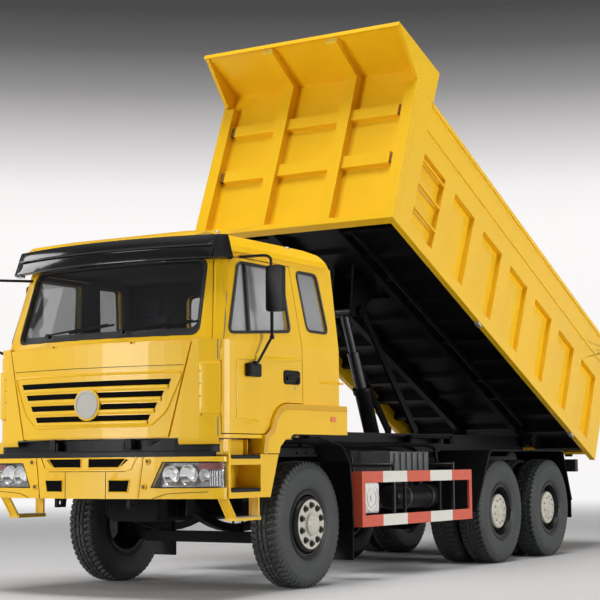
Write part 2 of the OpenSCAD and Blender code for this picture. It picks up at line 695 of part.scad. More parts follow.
// Cab shell: hollow, with door openings, windows and the pocket of the front flap, on two pivot arms
module cab_shell() color(yellow) truck() {
    difference() {
        union() {
            cab_form(0, cab_low);
            both() flare();
        }
        cab_form(wall, cab_low + floor_t);
        both() {
            along_x(cab_half - 242, flare_x + 50) polygon(door_shape(0));
            along_x(cab_half - 400, flare_x + 50) polygon(quarter_shape);
            along_x(780, flare_x + 1) polygon(rect([arch_flat, cab_low - 1], [cab_rear + 91, arch_top]));
            for (h = door_pins) translate([door_pin[0], door_pin[1], h[0] - gap])
                cylinder(h = h[1] - h[0] + 2 * gap, r = door_pin_r + play);
            for (x = flap_arms) block([x - 25, cab_front - 1, flap_pin[1] - 45], [x + 25, cab_front + 160, waist_z + 1]);
        }
        along_y(cab_front - 100, screen_back) polygon(screen_shape);
        along_y(cab_rear - 200, cab_rear + 50) polygon(rear_shape);
        intersection() {
            along_y(cab_front - 100, screen_back) polygon(mirrored([
                [flap_half_low + flap_gap, flap_low - flap_gap], [flap_half_top + flap_gap, flap_top],
                [flap_half_top + flap_gap, waist_z + 1]]));
            difference() {
                cab_lower(-10, cab_low);
                cab_lower(flap_t + gap, cab_low);
            }
        }
        along_x(-300, 300) polygon(rect([-1100, cab_low - 1], [cab_rear + 1, cab_low + floor_t - 20]));
    }
    both() for (x = flap_arms) translate([x, flap_pin[0], flap_pin[1]]) bar_x(-25, 25, flap_pin_r);
    both() difference() {
        block([pivot_x - 30, pivot_y - 32, pivot_z - 32], [pivot_x + 30, pivot_y + 32, cab_low]);
        translate([0, pivot_y, pivot_z]) bar_x(pivot_x - 31, pivot_x + 31, pivot_r + play);
    }
}

roof_edge = -1410;

// Roof outlines seen from the side and from the front
roof_side = [[roof_edge, gutter_z], [cab_rear - 20, gutter_z], [cab_rear - 60, gutter_z + 100], [cab_rear - 150, roof_z - 40],
    [-600, roof_z], [-1120, roof_z], [-1290, roof_z - 50], [-1360, roof_z - 130]];
roof_half = cab_half * taper_x;
roof_front = mirrored([[roof_half, gutter_z], [roof_half - 20, gutter_z + 60], [roof_half - 80, gutter_z + 130],
    [roof_half - 200, roof_z - 40], [roof_half - 500, roof_z]]);
roof_t = 40;

// Roof panel with its crown and the gutter round its foot
module cab_roof() color(yellow) truck() {
    difference() {
        intersection() {
            along_x(-cab_half, cab_half) polygon(roof_side);
            along_y(cab_front, cab_rear + 1) polygon(roof_front);
            translate([0, 0, gutter_z]) linear_extrude(roof_z - gutter_z) polygon(plan(roof_half, roof_edge, cab_rear, 180));
        }
        intersection() {
            along_x(-cab_half, cab_half) polygon(concat([[roof_edge + roof_t, gutter_z - 1], [cab_rear - 20 - roof_t, gutter_z - 1]],
                [for (i = [2 : len(roof_side) - 1]) inset(roof_side, roof_t)[i]]));
            along_y(cab_front, cab_rear) polygon(let (q = inset(roof_front, roof_t)) concat([[q[0][0], gutter_z - 1]],
                [for (i = [1 : len(q) - 2]) q[i]], [[-q[0][0], gutter_z - 1]]));
            translate([0, 0, gutter_z - 1]) linear_extrude(roof_z - gutter_z)
                polygon(inset(plan(roof_half, roof_edge, cab_rear, 180), roof_t));
        }
    }
}

visor_r = 0.9 * front_arc_r;
visor_mid = roof_edge - 30;
visor_half = cab_half - 155;
visor_low = gutter_z - 80;
visor_high = gutter_z + 135;
// Where the brackets stand, and the stations of the visor's middle and the roof's front at x
foot_x_visor = [180, 760];
function visor_at(x) = visor_mid + visor_r - sqrt(pow(visor_r + 40, 2) - x * x);
function roof_at(x) = roof_edge + max(16.4, front_arc_r - sqrt(front_arc_r * front_arc_r - pow(x - 20, 2)) - 0.3);

// Sun visor: a tilted band that follows the front's arc, wrapped round the corners
module sun_visor() color(black) truck() {
    intersection() {
        translate([0, visor_mid + visor_r, 0]) rotate_extrude($fn = 720) polygon([[visor_r + 60, visor_low],
            [visor_r + 90, visor_low + 15], [visor_r + 45, visor_high - 60], [visor_r + 25, visor_high],
            [visor_r, visor_high], [visor_r + 12, visor_high - 70]]);
        block([-visor_half, -2000, visor_low - 10], [visor_half, -1000, visor_high + 10]);
    }
    both() for (x = foot_x_visor) block([x - 20, visor_at(x), gutter_z + 30], [x + 20, roof_at(x), gutter_z + 45]);
}

// Panes of the windscreen, the quarter windows and the rear window, set in the middle of the walls
module cab_glass() color(clear) truck() intersection() {
    difference() {
        cab_upper(wall / 2);
        cab_upper(wall / 2 + pane);
    }
    union() {
        along_y(cab_front - 100, screen_back) polygon(screen_shape);
        along_y(cab_rear - 200, cab_rear + 50) polygon(rear_shape);
        both() along_x(cab_half - 400, flare_x + 50) polygon(quarter_shape);
    }
}

slot_pitch = 96;
slot_h = 44;
slot_low = 1440;
slot_top = 1775;

// Front flap with four grille slots, on two hinge arms behind its top edge
module front_flap() color(yellow) truck() difference() {
    union() {
        intersection() {
            along_y(cab_front - 100, screen_back) polygon(flap_shape);
            difference() {
                cab_lower(0, cab_low);
                cab_lower(flap_t, cab_low - 1);
            }
        }
        both() for (x = flap_arms) {
            translate([x, flap_pin[0], flap_pin[1]]) bar_x(-10, 10, flap_pin_r + 9);
            along_x(x - 10, x + 10) polygon(rect([cab_front + 35, flap_pin[1] - 18], [flap_pin[0], flap_pin[1] + 2]));
        }
    }
    both() for (x = flap_arms) translate([x, flap_pin[0], flap_pin[1]]) bar_x(-11, 11, flap_pin_r + play);
    intersection() {
        both() for (s = [[-1, flap_arms[0] - 25], [flap_arms[0] + 25, 780]])
            block([s[0], cab_front - 1, flap_top - rebate_h], [s[1], cab_front + 300, flap_top + 1]);
        cab_lower(flap_t - rebate_d, cab_low);
    }
    for (i = [0 : 3]) let (z = slot_low + 10 + i * slot_pitch, w = 590 + i * 62)
        along_y(cab_front - 100, screen_back) polygon(mirrored([[w, z], [w + 24, z + slot_h]]));
}

// Two seats and the bunk behind them
module seats() color(grey) truck() {
    both() translate([560, -420, cab_low + floor_t]) {
        block([-240, -240, 0], [240, 240, 330]);
        block([-260, -270, 330], [260, 260, 460]);
        along_x(-250, 250) polygon(soft([[190, 460], [300, 460], [370, 1080], [280, 1080]], 30));
        along_x(-140, 140) polygon(soft([[290, 1080], [370, 1080], [385, 1260], [310, 1260]], 25));
    }
    block([-1080, -20, cab_low + floor_t], [1080, cab_rear - wall, cab_low + floor_t + 300]);
}

// Dashboard across the cab, with the steering column and wheel on the left
module dashboard() color(grey) truck() {
    difference() {
        along_x(-1000, 1000) polygon(soft([[-1475, 1700], [-1200, 1700], [-1120, 1960], [-1180, 2080], [-1475, 2090]], 40));
        cab_shell_liner();
    }
    translate([560, -1130, 1930]) rotate([-35, 0, 0]) {
        rotate_extrude() translate([215, 0]) circle(r = 17);
        for (a = [0, 120, 240]) rotate([0, 0, a]) translate([0, -14, -8]) cube([215, 28, 14]);
        translate([0, 0, -120]) cylinder(h = 130, r = 40);
    }
}

// Everything outside the cab's inner face, to trim what is fitted inside
module cab_shell_liner() difference() {
    block([-2000, -2500, 1500], [2000, 0, 2500]);
    cab_lower(wall, cab_low);
    translate([0, 0, -5]) cab_upper(wall);
}

// Mirror on the right front corner: two arms and a head
module kerb_mirror() color(black) truck() difference() {
    union() {
        rod([-950, -1190, 2735], [-1330, -1480, 2745], 12);
        rod([-1125, -1400, 2060], [-1330, -1480, 2150], 12);
        along_y(-1510, -1450) polygon(soft(rect([-1400, 2110], [-1300, 2840]), 40));
    }
    cab_form(-0.3, cab_low);
}

// One door in its opening, hollow only at its window
module door(side) color(yellow) truck() mirror([side < 0 ? 1 : 0, 0, 0]) difference() {
    intersection() {
        difference() {
            cab_form(0, cab_low);
            cab_form(wall, cab_low - 1);
        }
        along_x(cab_half - 232, flare_x) polygon(door_shape(gap));
    }
    along_x(cab_half - 300, flare_x) polygon(window_shape);
}

// Door with the knuckles of its hinge
module hung_door(side) {
    door(side);
    color(yellow) truck() mirror([side < 0 ? 1 : 0, 0, 0]) for (h = door_pins) translate([door_pin[0], door_pin[1], h[0]])
        cylinder(h = h[1] - h[0], r = door_pin_r);
}

module door_left() hung_door(1);
module door_right() hung_door(-1);

// Pane of a door's window
module door_glass(side) color(clear) truck() mirror([side < 0 ? 1 : 0, 0, 0]) intersection() {
    difference() {
        cab_upper(wall / 2);
        cab_upper(wall / 2 + pane);
    }
    along_x(cab_half - 300, flare_x) polygon(window_shape);
}

module door_glass_left() door_glass(1);
module door_glass_right() door_glass(-1);

// Mirror on a door: a foot, a bent arm and a tall head
module door_mirror(side) color(black) truck() mirror([side < 0 ? 1 : 0, 0, 0]) {
    block([cab_half, -1105, 1815], [cab_half + 50, -935, 1910]);
    rod([cab_half + 36, -1010, 1885], [cab_half + 80, -820, 2150], 12);
    rod([cab_half + 80, -820, 2135], [cab_half + 80, -820, 2375], 14);
    along_y(-850, -790) polygon(soft(rect([cab_half + 38, 2360], [cab_half + 200, 2752]), 30));
}

module door_mirror_left() door_mirror(1);
module door_mirror_right() door_mirror(-1);

// Load bed

sill_low = subframe_top - hinge_z + 6;
floor_n = 190;
beam_n = 100;
beam_mid_n = 150;
rib_depth = 98;
beam_pitch = (bed_l - 475) / 11;
hoist_eye = [hinge_u - 3881, -260];
arm_eye = [hinge_u - 3791, -215];
arm_pin_r = 25;
lug_x = 108;
arm_x = 155;
arm_t = 30;

// Bed floor: plate, cross beams, two sills, the hinge ears and the lugs of the hoist
module bed_floor() color(black) bed() difference() {
    union() {
        block([side_t - bed_half, head_t, floor_n], [bed_half - side_t, bed_l, floor_n + plate]);
        for (i = [0 : 11]) let (u = 320 + i * beam_pitch) {
            both() block([rail_x, u, beam_n], [bed_half - side_t, u + 70, floor_n]);
            block([-rail_in, u, beam_mid_n], [rail_in, u + 70, floor_n]);
        }
        both() {
            block([rail_in, head_t, sill_low], [rail_x, hinge_u - 60, floor_n]);
            along_x(hinge_ear_x, hinge_ear_x + hinge_ear_t) polygon([[hinge_u - 70, 0], [hinge_u + 70, 0], [hinge_u + 200, floor_n],
                [hinge_u - 260, floor_n]]);
            translate([0, hinge_u, 0]) bar_x(hinge_ear_x, hinge_ear_x + hinge_ear_t, 70);
            along_x(lug_x, lug_x + lug_t) polygon([[hoist_eye[0] - 60, hoist_eye[1]], [hoist_eye[0] + 60, hoist_eye[1]],
                [arm_eye[0] + 60, arm_eye[1]], [arm_eye[0] + 250, floor_n], [hoist_eye[0] - 200, floor_n]]);
            translate([0, hoist_eye[0], hoist_eye[1]]) bar_x(lug_x, lug_x + lug_t, 60);
            translate([0, arm_eye[0], arm_eye[1]]) bar_x(lug_x, lug_x + lug_t, 60);
            translate([0, arm_eye[0], arm_eye[1]]) bar_x(lug_x + lug_t - 1, arm_x + arm_t + 10, arm_pin_r);
        }
    }
    both() translate([0, hinge_u, 0]) bar_x(hinge_ear_x - 1, hinge_ear_x + hinge_ear_t + 1, hinge_pin_r + play);
}

panel_low = 140;
panel_high = 985;
panel_pitch = bed_l * 0.1319;
panel_w = panel_pitch * 0.663;
panel_first = panel_pitch * 0.465;
// How far the headboard leans forward at its fold, and the height of the fold
head_lean = 100;
fold_n = bed_h + 236;
function lean(n) = -head_lean * n / fold_n;
ear_u = gate_gap + gate_t;
gate_pin_r = 20;
gate_pin_n = bed_h - 50;
gate_pin_u = bed_l + gate_gap + gate_t / 2;

// Bed sides with their row of pressed panels and the ears of the tailgate
module bed_sides() color(yellow) bed() both() difference() {
    union() {
        along_x(bed_half - side_t, bed_half) polygon([[head_t, 0], [bed_l, 0], [bed_l, bed_h], [head_t + lean(bed_h), bed_h]]);
        block([bed_half - 45, bed_l - 1, bed_h - 100], [bed_half, bed_l + ear_u, bed_h]);
    }
    for (i = [0 : 6]) block([bed_half - panel_depth, panel_first + i * panel_pitch, panel_low],
        [bed_half + 1, panel_first + i * panel_pitch + panel_w, panel_high]);
    translate([0, gate_pin_u, gate_pin_n]) bar_x(bed_half - 50, bed_half + 1, gate_pin_r + play);
}

// Eave over the cab: its front lip, and the ends of the ribs under it
lip_u = -644;
lip_n = bed_h + 320;
eave_t = 14;
rib_fold = [-107, bed_h + 169];
rib_end = [-601, bed_h + 241];
gusset_u = 305;
gusset_n = bed_h + 384;
gusset_t = 40;
rib_x = 392;
rib_half = 67;
post_w = 130;
// Cross ribs of the headboard: lower and upper edge
cross_ribs = [[670, 810], [1240, 1370]];
cross_rib_depth = 60;
flange_h = 60;

// Band of the headboard between heights n0 and n1, from depth u0 to depth u1
module head_band(x0, x1, u0, u1, n0, n1) along_x(x0, x1)
    polygon([[u0 + lean(n0), n0], [u1 + lean(n0), n0], [u1 + lean(n1), n1], [u0 + lean(n1), n1]]);

// Headboard with its posts and ribs, and the eave that shields the cab between two gussets
module bed_headboard() color(yellow) bed() {
    head_band(-bed_half, bed_half, rib_depth, head_t, 0, fold_n);
    head_band(-bed_half, bed_half, 0, rib_depth + 1, 0, flange_h);
    for (r = cross_ribs) head_band(-bed_half + post_w + 60, bed_half - post_w - 60, rib_depth - cross_rib_depth, rib_depth + 1, r[0], r[1]);
    both() {
        head_band(bed_half - post_w, bed_half, 0, rib_depth + 1, 0, bed_h);
        along_x(bed_half - gusset_t, bed_half) polygon([[head_t + lean(bed_h), bed_h], [gusset_u, bed_h], [gusset_u, gusset_n],
            [lip_u, lip_n + eave_t], [lip_u, lip_n], [lean(bed_h), bed_h + 40], [lean(bed_h), bed_h - 1], [head_t + lean(bed_h), bed_h - 1]]);
        along_x(rib_x - rib_half, rib_x + rib_half) polygon([[0, 0], [rib_depth + 2, 0], [rib_depth + 2 + lean(fold_n), fold_n],
            [rib_end[0], lip_n - 4], rib_end, rib_fold]);
    }
    along_x(-bed_half, bed_half) polygon([[rib_depth + lean(fold_n), fold_n - 1], [head_t + lean(fold_n), fold_n - 1],
        [head_t + lean(fold_n), fold_n + eave_t], [lip_u + 12, lip_n + eave_t], [lip_u, lip_n + eave_t], [lip_u, lip_n - 30],
        [lip_u + 12, lip_n - 30], [lip_u + 12, lip_n]]);
}

// Tailgate hung from its top edge, with ribs outside
module tailgate() color(yellow) bed() {
    block([45 + 6 - bed_half, bed_l + gate_gap, 110], [bed_half - 45 - 6, bed_l + gate_gap + plate, gate_pin_n + 10]);
    for (k = [-2 : 2]) let (x = k * (bed_half - 100) / 2) block([x - 45, bed_l + gate_gap, 110], [x + 45, bed_l + gate_gap + gate_t, gate_pin_n - 40]);
    for (n = [110, 700, gate_pin_n - 80]) block([51 - bed_half, bed_l + gate_gap, n], [bed_half - 51, bed_l + gate_gap + gate_t, n + 90]);
    both() translate([0, gate_pin_u, gate_pin_n]) bar_x(bed_half - 60, bed_half, gate_pin_r);
}

// Hoist

rest_eye = [hinge_y + (hoist_eye[0] - hinge_u) * cos(tip) + hoist_eye[1] * sin(tip),
    hinge_z - (hoist_eye[0] - hinge_u) * sin(tip) + hoist_eye[1] * cos(tip)];
hoist_reach = norm(rest_eye - [hoist_y, hoist_z]);
hoist_lean = atan2(rest_eye[0] - hoist_y, rest_eye[1] - hoist_z);
sleeve_r = 65;
rod_r = 45;
stage_gap = 0.5;
stage_l = barrel_l - 80;
stage_out = (hoist_reach - barrel_l) / 2;

// Children drawn upwards from the foot pin, leaning towards the bed's lugs
module hoist() truck() translate([0, hoist_y, hoist_z]) rotate([-hoist_lean, 0, 0]) children();

// Barrel of the telescopic hoist, with its foot eye and collar
module hoist_barrel() color(black) hoist() difference() {
    union() {
        translate([0, 0, 60]) cylinder(h = barrel_l - 60, r = barrel_r);
        translate([0, 0, barrel_l - 60]) cylinder(h = 60, r = barrel_r + 15);
        bar_x(-70, 70, 65);
        block([-70, -45, 0], [70, 45, 70]);
    }
    translate([0, 0, 75]) cylinder(h = barrel_l, r = sleeve_r + stage_gap);
    bar_x(-71, 71, hoist_pin_r + play);
}

// Middle stage of the hoist
module hoist_sleeve() color(steel) hoist() translate([0, 0, stage_out]) difference() {
    translate([0, 0, 80]) cylinder(h = stage_l - 22, r = sleeve_r);
    translate([0, 0, 90]) cylinder(h = stage_l + 10, r = rod_r + stage_gap);
}

// Inner rod of the hoist, with its eye between the bed's lugs
module hoist_rod() color(steel) hoist() translate([0, 0, 2 * stage_out]) {
    translate([0, 0, 62]) cylinder(h = barrel_l - 62, r = rod_r);
    translate([0, 0, barrel_l]) bar_x(6 - lug_x, lug_x - 6, 55);
}

arm_l = 1715;
arm_lean = 22.5;

// Two lift arms hung from the bed's lugs, reaching back to the subframe
module lift_arms() color(black) bed() both() translate([0, arm_eye[0], arm_eye[1]]) rotate([-arm_lean, 0, 0]) difference() {
    union() {
        bar_x(arm_x, arm_x + arm_t, 60);
        block([arm_x, 0, -45], [arm_x + arm_t, arm_l, 45]);
        translate([0, arm_l, 0]) bar_x(arm_x, arm_x + arm_t, 55);
    }
    bar_x(arm_x - 1, arm_x + arm_t + 1, arm_pin_r + play);
}

frame_rails();
subframe();
front_bumper();
bumper_step();
headlamps();
cab_steps();
mudguards();
front_axle();
leaf_springs();
rear_axles();
engine();
propshafts();
side_guards();
fuel_tank();
air_tanks();
battery_box();
tail_lamps();
cab_shell();
cab_roof();
sun_visor();
cab_glass();
front_flap();
seats();
dashboard();
kerb_mirror();
door_left();
door_right();
door_glass_left();
door_glass_right();
door_mirror_left();
door_mirror_right();
knuckle_left();
knuckle_right();
tie_rod();
front_tyre_left();
front_tyre_right();
front_wheel_left();
front_wheel_right();
mid_tyres_left();
mid_tyres_right();
mid_wheels_left();
mid_wheels_right();
rear_tyres_left();
rear_tyres_right();
rear_wheels_left();
rear_wheels_right();
bed_floor();
bed_sides();
bed_headboard();
tailgate();
hoist_barrel();
hoist_sleeve();
hoist_rod();
lift_arms();
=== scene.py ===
"""Dress of a three-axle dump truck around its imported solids: paint, glass, rubber and small fittings."""

import bpy
import numpy as np
from mathutils import Matrix, Vector


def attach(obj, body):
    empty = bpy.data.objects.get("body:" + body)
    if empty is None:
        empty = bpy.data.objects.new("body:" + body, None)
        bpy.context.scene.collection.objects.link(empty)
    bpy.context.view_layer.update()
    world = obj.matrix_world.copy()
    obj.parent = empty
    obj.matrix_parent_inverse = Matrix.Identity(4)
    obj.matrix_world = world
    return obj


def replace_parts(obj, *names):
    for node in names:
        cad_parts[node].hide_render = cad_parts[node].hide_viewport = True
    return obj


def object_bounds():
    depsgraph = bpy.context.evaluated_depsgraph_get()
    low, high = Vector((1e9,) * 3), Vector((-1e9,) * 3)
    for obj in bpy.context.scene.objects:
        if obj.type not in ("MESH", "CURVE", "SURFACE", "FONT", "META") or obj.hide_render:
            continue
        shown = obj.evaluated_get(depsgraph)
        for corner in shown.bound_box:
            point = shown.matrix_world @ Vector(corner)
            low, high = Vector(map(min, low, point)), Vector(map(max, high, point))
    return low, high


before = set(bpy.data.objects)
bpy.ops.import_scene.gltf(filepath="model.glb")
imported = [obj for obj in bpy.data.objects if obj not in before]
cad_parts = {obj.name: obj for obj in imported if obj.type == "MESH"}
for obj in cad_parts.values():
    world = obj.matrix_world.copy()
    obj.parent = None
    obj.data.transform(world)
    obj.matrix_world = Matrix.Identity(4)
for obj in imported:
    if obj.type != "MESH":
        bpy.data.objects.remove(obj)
cad_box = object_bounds()
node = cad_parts

# Camera, floor and light
# A long lens stands low on the truck's left front, on a pale studio floor under a backdrop that darkens upwards.
# Stations along the truck are counted in metres from the front axle and moved by MIDDLE.
BUMPER_FRONT = -1.690
MIDDLE = BUMPER_FRONT - cad_box[0][1]
camera_data = bpy.data.cameras.new("photo_camera")
camera_data.sensor_width = 36.0
camera_data.lens = 93.12
camera_data.clip_end = 200.0
camera = bpy.data.objects.new("photo_camera", camera_data)
bpy.context.scene.collection.objects.link(camera)
pose = np.eye(4)
pose[:3, 0], pose[:3, 1], pose[:3, 2] = (0.8493, 0.5279, -0.0081), (0.0619, -0.0843, 0.9946), (0.5243, -0.8451, -0.1043)
pose[:3, 3] = (8.3515, -11.7432 - MIDDLE, 1.0944)
camera.matrix_world = Matrix(pose.tolist())
bpy.context.scene.camera = camera
bpy.context.scene.view_settings.view_transform = "Standard"


def wire(material, kind, inputs=None, **settings):
    """Adds a shader node; inputs are values or sockets of other nodes."""
    made = material.node_tree.nodes.new(kind)
    for key, value in settings.items():
        setattr(made, key, value)
    for key, value in (inputs or {}).items():
        socket = made.inputs[key]
        if isinstance(value, bpy.types.NodeSocket):
            material.node_tree.links.new(value, socket)
        else:
            socket.default_value = value
    return made


def blank(name, colour=(0.8, 0.8, 0.8), rough=0.5, **sockets):
    """New material with a Principled shader of one colour and gloss, returned with that shader."""
    material = bpy.data.materials.new(name)
    material.use_nodes = True
    shader = material.node_tree.nodes["Principled BSDF"]
    shader.inputs["Base Color"].default_value = (*colour, 1)
    shader.inputs["Roughness"].default_value = rough
    for key, value in sockets.items():
        shader.inputs[key.replace("_", " ")].default_value = value
    return material, shader


def seen_by_eye(material):
    """Socket that is 1 for rays from the camera, reflections and glass, which show the studio's backdrop."""
    path = wire(material, "ShaderNodeLightPath").outputs
    pair = wire(material, "ShaderNodeMath", {0: path["Is Camera Ray"], 1: path["Is Glossy Ray"]},
                operation="MAXIMUM").outputs[0]
    return wire(material, "ShaderNodeMath", {0: pair, 1: path["Is Transmission Ray"]}, operation="MAXIMUM").outputs[0]


floor_paint, floor_shader = blank("studio_floor", (0.66, 0.66, 0.67), 0.8)
ground = wire(floor_paint, "ShaderNodeTexCoord").outputs["Object"]
far = wire(floor_paint, "ShaderNodeVectorMath", {0: ground}, operation="LENGTH").outputs["Value"]
away = wire(floor_paint, "ShaderNodeMapRange", {"Value": far, "From Min": 7.0, "From Max": 30.0},
            interpolation_type="SMOOTHSTEP").outputs["Result"]
share = wire(floor_paint, "ShaderNodeMath", {0: away, 1: seen_by_eye(floor_paint)}, operation="MULTIPLY").outputs[0]
paper = wire(floor_paint, "ShaderNodeEmission", {"Color": (1, 1, 1, 1), "Strength": 0.93}).outputs["Emission"]
sheet = wire(floor_paint, "ShaderNodeMixShader",
             {0: share, 1: floor_shader.outputs["BSDF"], 2: paper}).outputs["Shader"]
floor_paint.node_tree.links.new(sheet, floor_paint.node_tree.nodes["Material Output"].inputs["Surface"])
floor_mesh = bpy.data.meshes.new("floor")
floor_mesh.from_pydata([(-80, -80, 0), (80, -80, 0), (80, 80, 0), (-80, 80, 0)], [], [(0, 1, 2, 3)])
floor_mesh.materials.append(floor_paint)
floor = bpy.data.objects.new("floor", floor_mesh)
bpy.context.scene.collection.objects.link(floor)

world = bpy.data.worlds.new("studio")
world.use_nodes = True
bpy.context.scene.world = world
tall = wire(world, "ShaderNodeSeparateXYZ", {"Vector": wire(world, "ShaderNodeTexCoord").outputs["Generated"]})
fade = wire(world, "ShaderNodeValToRGB", {"Fac": tall.outputs["Z"]})
stops = [(0.0, 0.94), (0.150, 0.97), (0.175, 0.90), (0.212, 0.54), (0.236, 0.29), (0.262, 0.13), (0.285, 0.07),
         (0.60, 0.10), (0.85, 0.55)]
for k, (place, level) in enumerate(stops):
    stop = fade.color_ramp.elements[k] if k < 2 else fade.color_ramp.elements.new(place)
    stop.position = place
    stop.color = (level, level * 0.975, level * 0.975, 1)
sky = world.node_tree.nodes["Background"]
sky.inputs["Color"].default_value = (1, 1, 1, 1)
sky.inputs["Strength"].default_value = 0.05
backdrop = wire(world, "ShaderNodeBackground", {"Color": fade.outputs["Color"], "Strength": 1.0})
both_ways = wire(world, "ShaderNodeMixShader",
                 {0: seen_by_eye(world), 1: sky.outputs["Background"], 2: backdrop.outputs["Background"]})
world.node_tree.links.new(both_ways.outputs["Shader"], world.node_tree.nodes["World Output"].inputs["Surface"])

for lamp_name, place, aim, size, power in (
        ("key", (-7, -19, 3.5), (0, -2, 2.7), 5, 1400), ("side", (18, 2, 3.6), (1, 2, 2.4), 6, 1700),
        ("card", (-17.4, -8, 9.0), (0, -1.5, 2.5), 7, 550), ("top", (2, -5, 22), (0, 1, 0), 11, 3700)):
    lamp_data = bpy.data.lights.new(lamp_name, "AREA")
    lamp_data.size = size
    lamp_data.energy = power
    lamp = bpy.data.objects.new(lamp_name, lamp_data)
    bpy.context.scene.collection.objects.link(lamp)
    lamp.location = place
    lamp.rotation_mode = "QUATERNION"
    lamp.rotation_quaternion = Vector(np.subtract(aim, place)).to_track_quat("-Z", "Y")

# Frame and running gear
# Pressed channels, axles, springs and tanks are brushed with satin black chassis paint.
# Bolts hold the cross members to the webs, and U-bolts, brake chambers and air hoses hang on the axles.


def blended(material, share, first, second):
    """Colour socket that goes from first to second, each a colour or a socket, as share goes from 0 to 1."""
    return wire(material, "ShaderNodeMix", {"Factor": share, 6: first, 7: second}, data_type="RGBA").outputs[2]


def coated(name, colour, rough, mottle=0.12, scale=2.5, metal=0.0, coat=0.0, grain=0.0006, grain_scale=160.0, dust=0.0,
           dust_top=1.6, dust_colour=(0.32, 0.29, 0.25), gleam=0.5):
    """Paint or plastic: cloudy colour from noise, uneven gloss, a fine bump and dust that thins out with height."""
    material, shader = blank(name, colour, rough, Metallic=metal, Coat_Weight=coat, Coat_Roughness=0.06,
                             Specular_IOR_Level=gleam)
    place = wire(material, "ShaderNodeTexCoord").outputs["Object"]
    cloud = wire(material, "ShaderNodeTexNoise", {"Vector": place, "Scale": scale, "Detail": 5.0, "Roughness": 0.6})
    tone = wire(material, "ShaderNodeValToRGB", {"Fac": cloud.outputs["Fac"]})
    tone.color_ramp.elements[0].position, tone.color_ramp.elements[1].position = 0.3, 0.7
    tone.color_ramp.elements[0].color = (*[c * (1 - mottle) for c in colour], 1)
    tone.color_ramp.elements[1].color = (*[min(1, c * (1 + mottle * 0.6)) for c in colour], 1)
    fine = wire(material, "ShaderNodeTexNoise", {"Vector": place, "Scale": grain_scale, "Detail": 3.0})
    gloss = wire(material, "ShaderNodeMapRange",
                 {"Value": cloud.outputs["Fac"], "To Min": rough * 0.85, "To Max": rough * 1.2})
    skin, matt = tone.outputs["Color"], gloss.outputs["Result"]
    if dust:
        height = wire(material, "ShaderNodeSeparateXYZ", {"Vector": place}).outputs["Z"]
        low = wire(material, "ShaderNodeMapRange",
                   {"Value": height, "From Min": 0.0, "From Max": dust_top, "To Min": dust, "To Max": 0.0})
        patch = wire(material, "ShaderNodeTexNoise", {"Vector": place, "Scale": 7.0, "Detail": 6.0, "Roughness": 0.7})
        share = wire(material, "ShaderNodeMath", {0: low.outputs["Result"], 1: patch.outputs["Fac"]},
                     operation="MULTIPLY")
        skin = blended(material, share.outputs[0], skin, (*dust_colour, 1))
        matt = wire(material, "ShaderNodeMix", {"Factor": share.outputs[0], 2: matt, 3: 0.9}).outputs[0]
    bump = wire(material, "ShaderNodeBump", {"Height": fine.outputs["Fac"], "Strength": 0.35, "Distance": grain})
    for value, socket in ((skin, "Base Color"), (matt, "Roughness"), (bump.outputs["Normal"], "Normal")):
        material.node_tree.links.new(value, shader.inputs[socket])
    return material


def dress(names, material, ease=0.0):
    """Gives CAD nodes a material and, with a width, eased edges."""
    for name in names:
        part = node[name]
        part.data.materials.clear()
        part.data.materials.append(material)
        if ease:
            weld = part.modifiers.new("weld", "WELD")
            weld.merge_threshold = 0.00002
            edge = part.modifiers.new("eased", "BEVEL")
            edge.width = ease
            edge.segments = 2
            edge.limit_method = "ANGLE"
            edge.angle_limit = np.radians(40)
            edge.harden_normals = True


def grid_faces(rows, cols, wrap_rows=False, wrap_cols=False):
    """Quads of a rows x cols grid of points, closed in either way on request."""
    i = np.arange(rows if wrap_rows else rows - 1)
    j = np.arange(cols if wrap_cols else cols - 1)
    a, b = np.meshgrid(i, j, indexing="ij")
    up, across = (a + 1) % rows, (b + 1) % cols
    return np.stack([a * cols + b, a * cols + across, up * cols + across, up * cols + b], -1).reshape(-1, 4)


def put(name, parts, material, body, smooth=True):
    """Makes one piece of (points, faces) parts, in metres in the row's frame, that rides on a body."""
    points, faces, start = [], [], 0
    for p, f in parts:
        points.append(np.asarray(p, float).reshape(-1, 3))
        faces += [[int(k) + start for k in face] for face in f]
        start += len(points[-1])
    mesh = bpy.data.meshes.new(name)
    mesh.from_pydata(np.concatenate(points).tolist(), [], faces)
    mesh.validate()
    mesh.materials.append(material)
    mesh.polygons.foreach_set("use_smooth", np.full(len(mesh.polygons), smooth))
    made = bpy.data.objects.new(name, mesh)
    bpy.context.scene.collection.objects.link(made)
    if smooth:
        made.modifiers.new("crisp", "EDGE_SPLIT").split_angle = np.radians(38)
    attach(made, body)
    return made


def at(x, y, z):
    """Point of the row's frame from a station y counted from the front axle."""
    return np.array([x, y - MIDDLE, z])


def turned(profile, centre, steps=32, axis=0):
    """Surface of revolution: (radius, along) points carried round the line through centre along an axis."""
    radius, along = np.array(profile, float).T
    angle = np.linspace(0, 2 * np.pi, steps, endpoint=False)[:, None]
    round_a, round_b, level = radius * np.cos(angle), radius * np.sin(angle), along + 0 * angle
    order = {0: (level, round_a, round_b), 1: (round_b, level, round_a), 2: (round_a, round_b, level)}[axis]
    return np.stack(order, -1) + np.asarray(centre), grid_faces(steps, len(radius), wrap_rows=True)


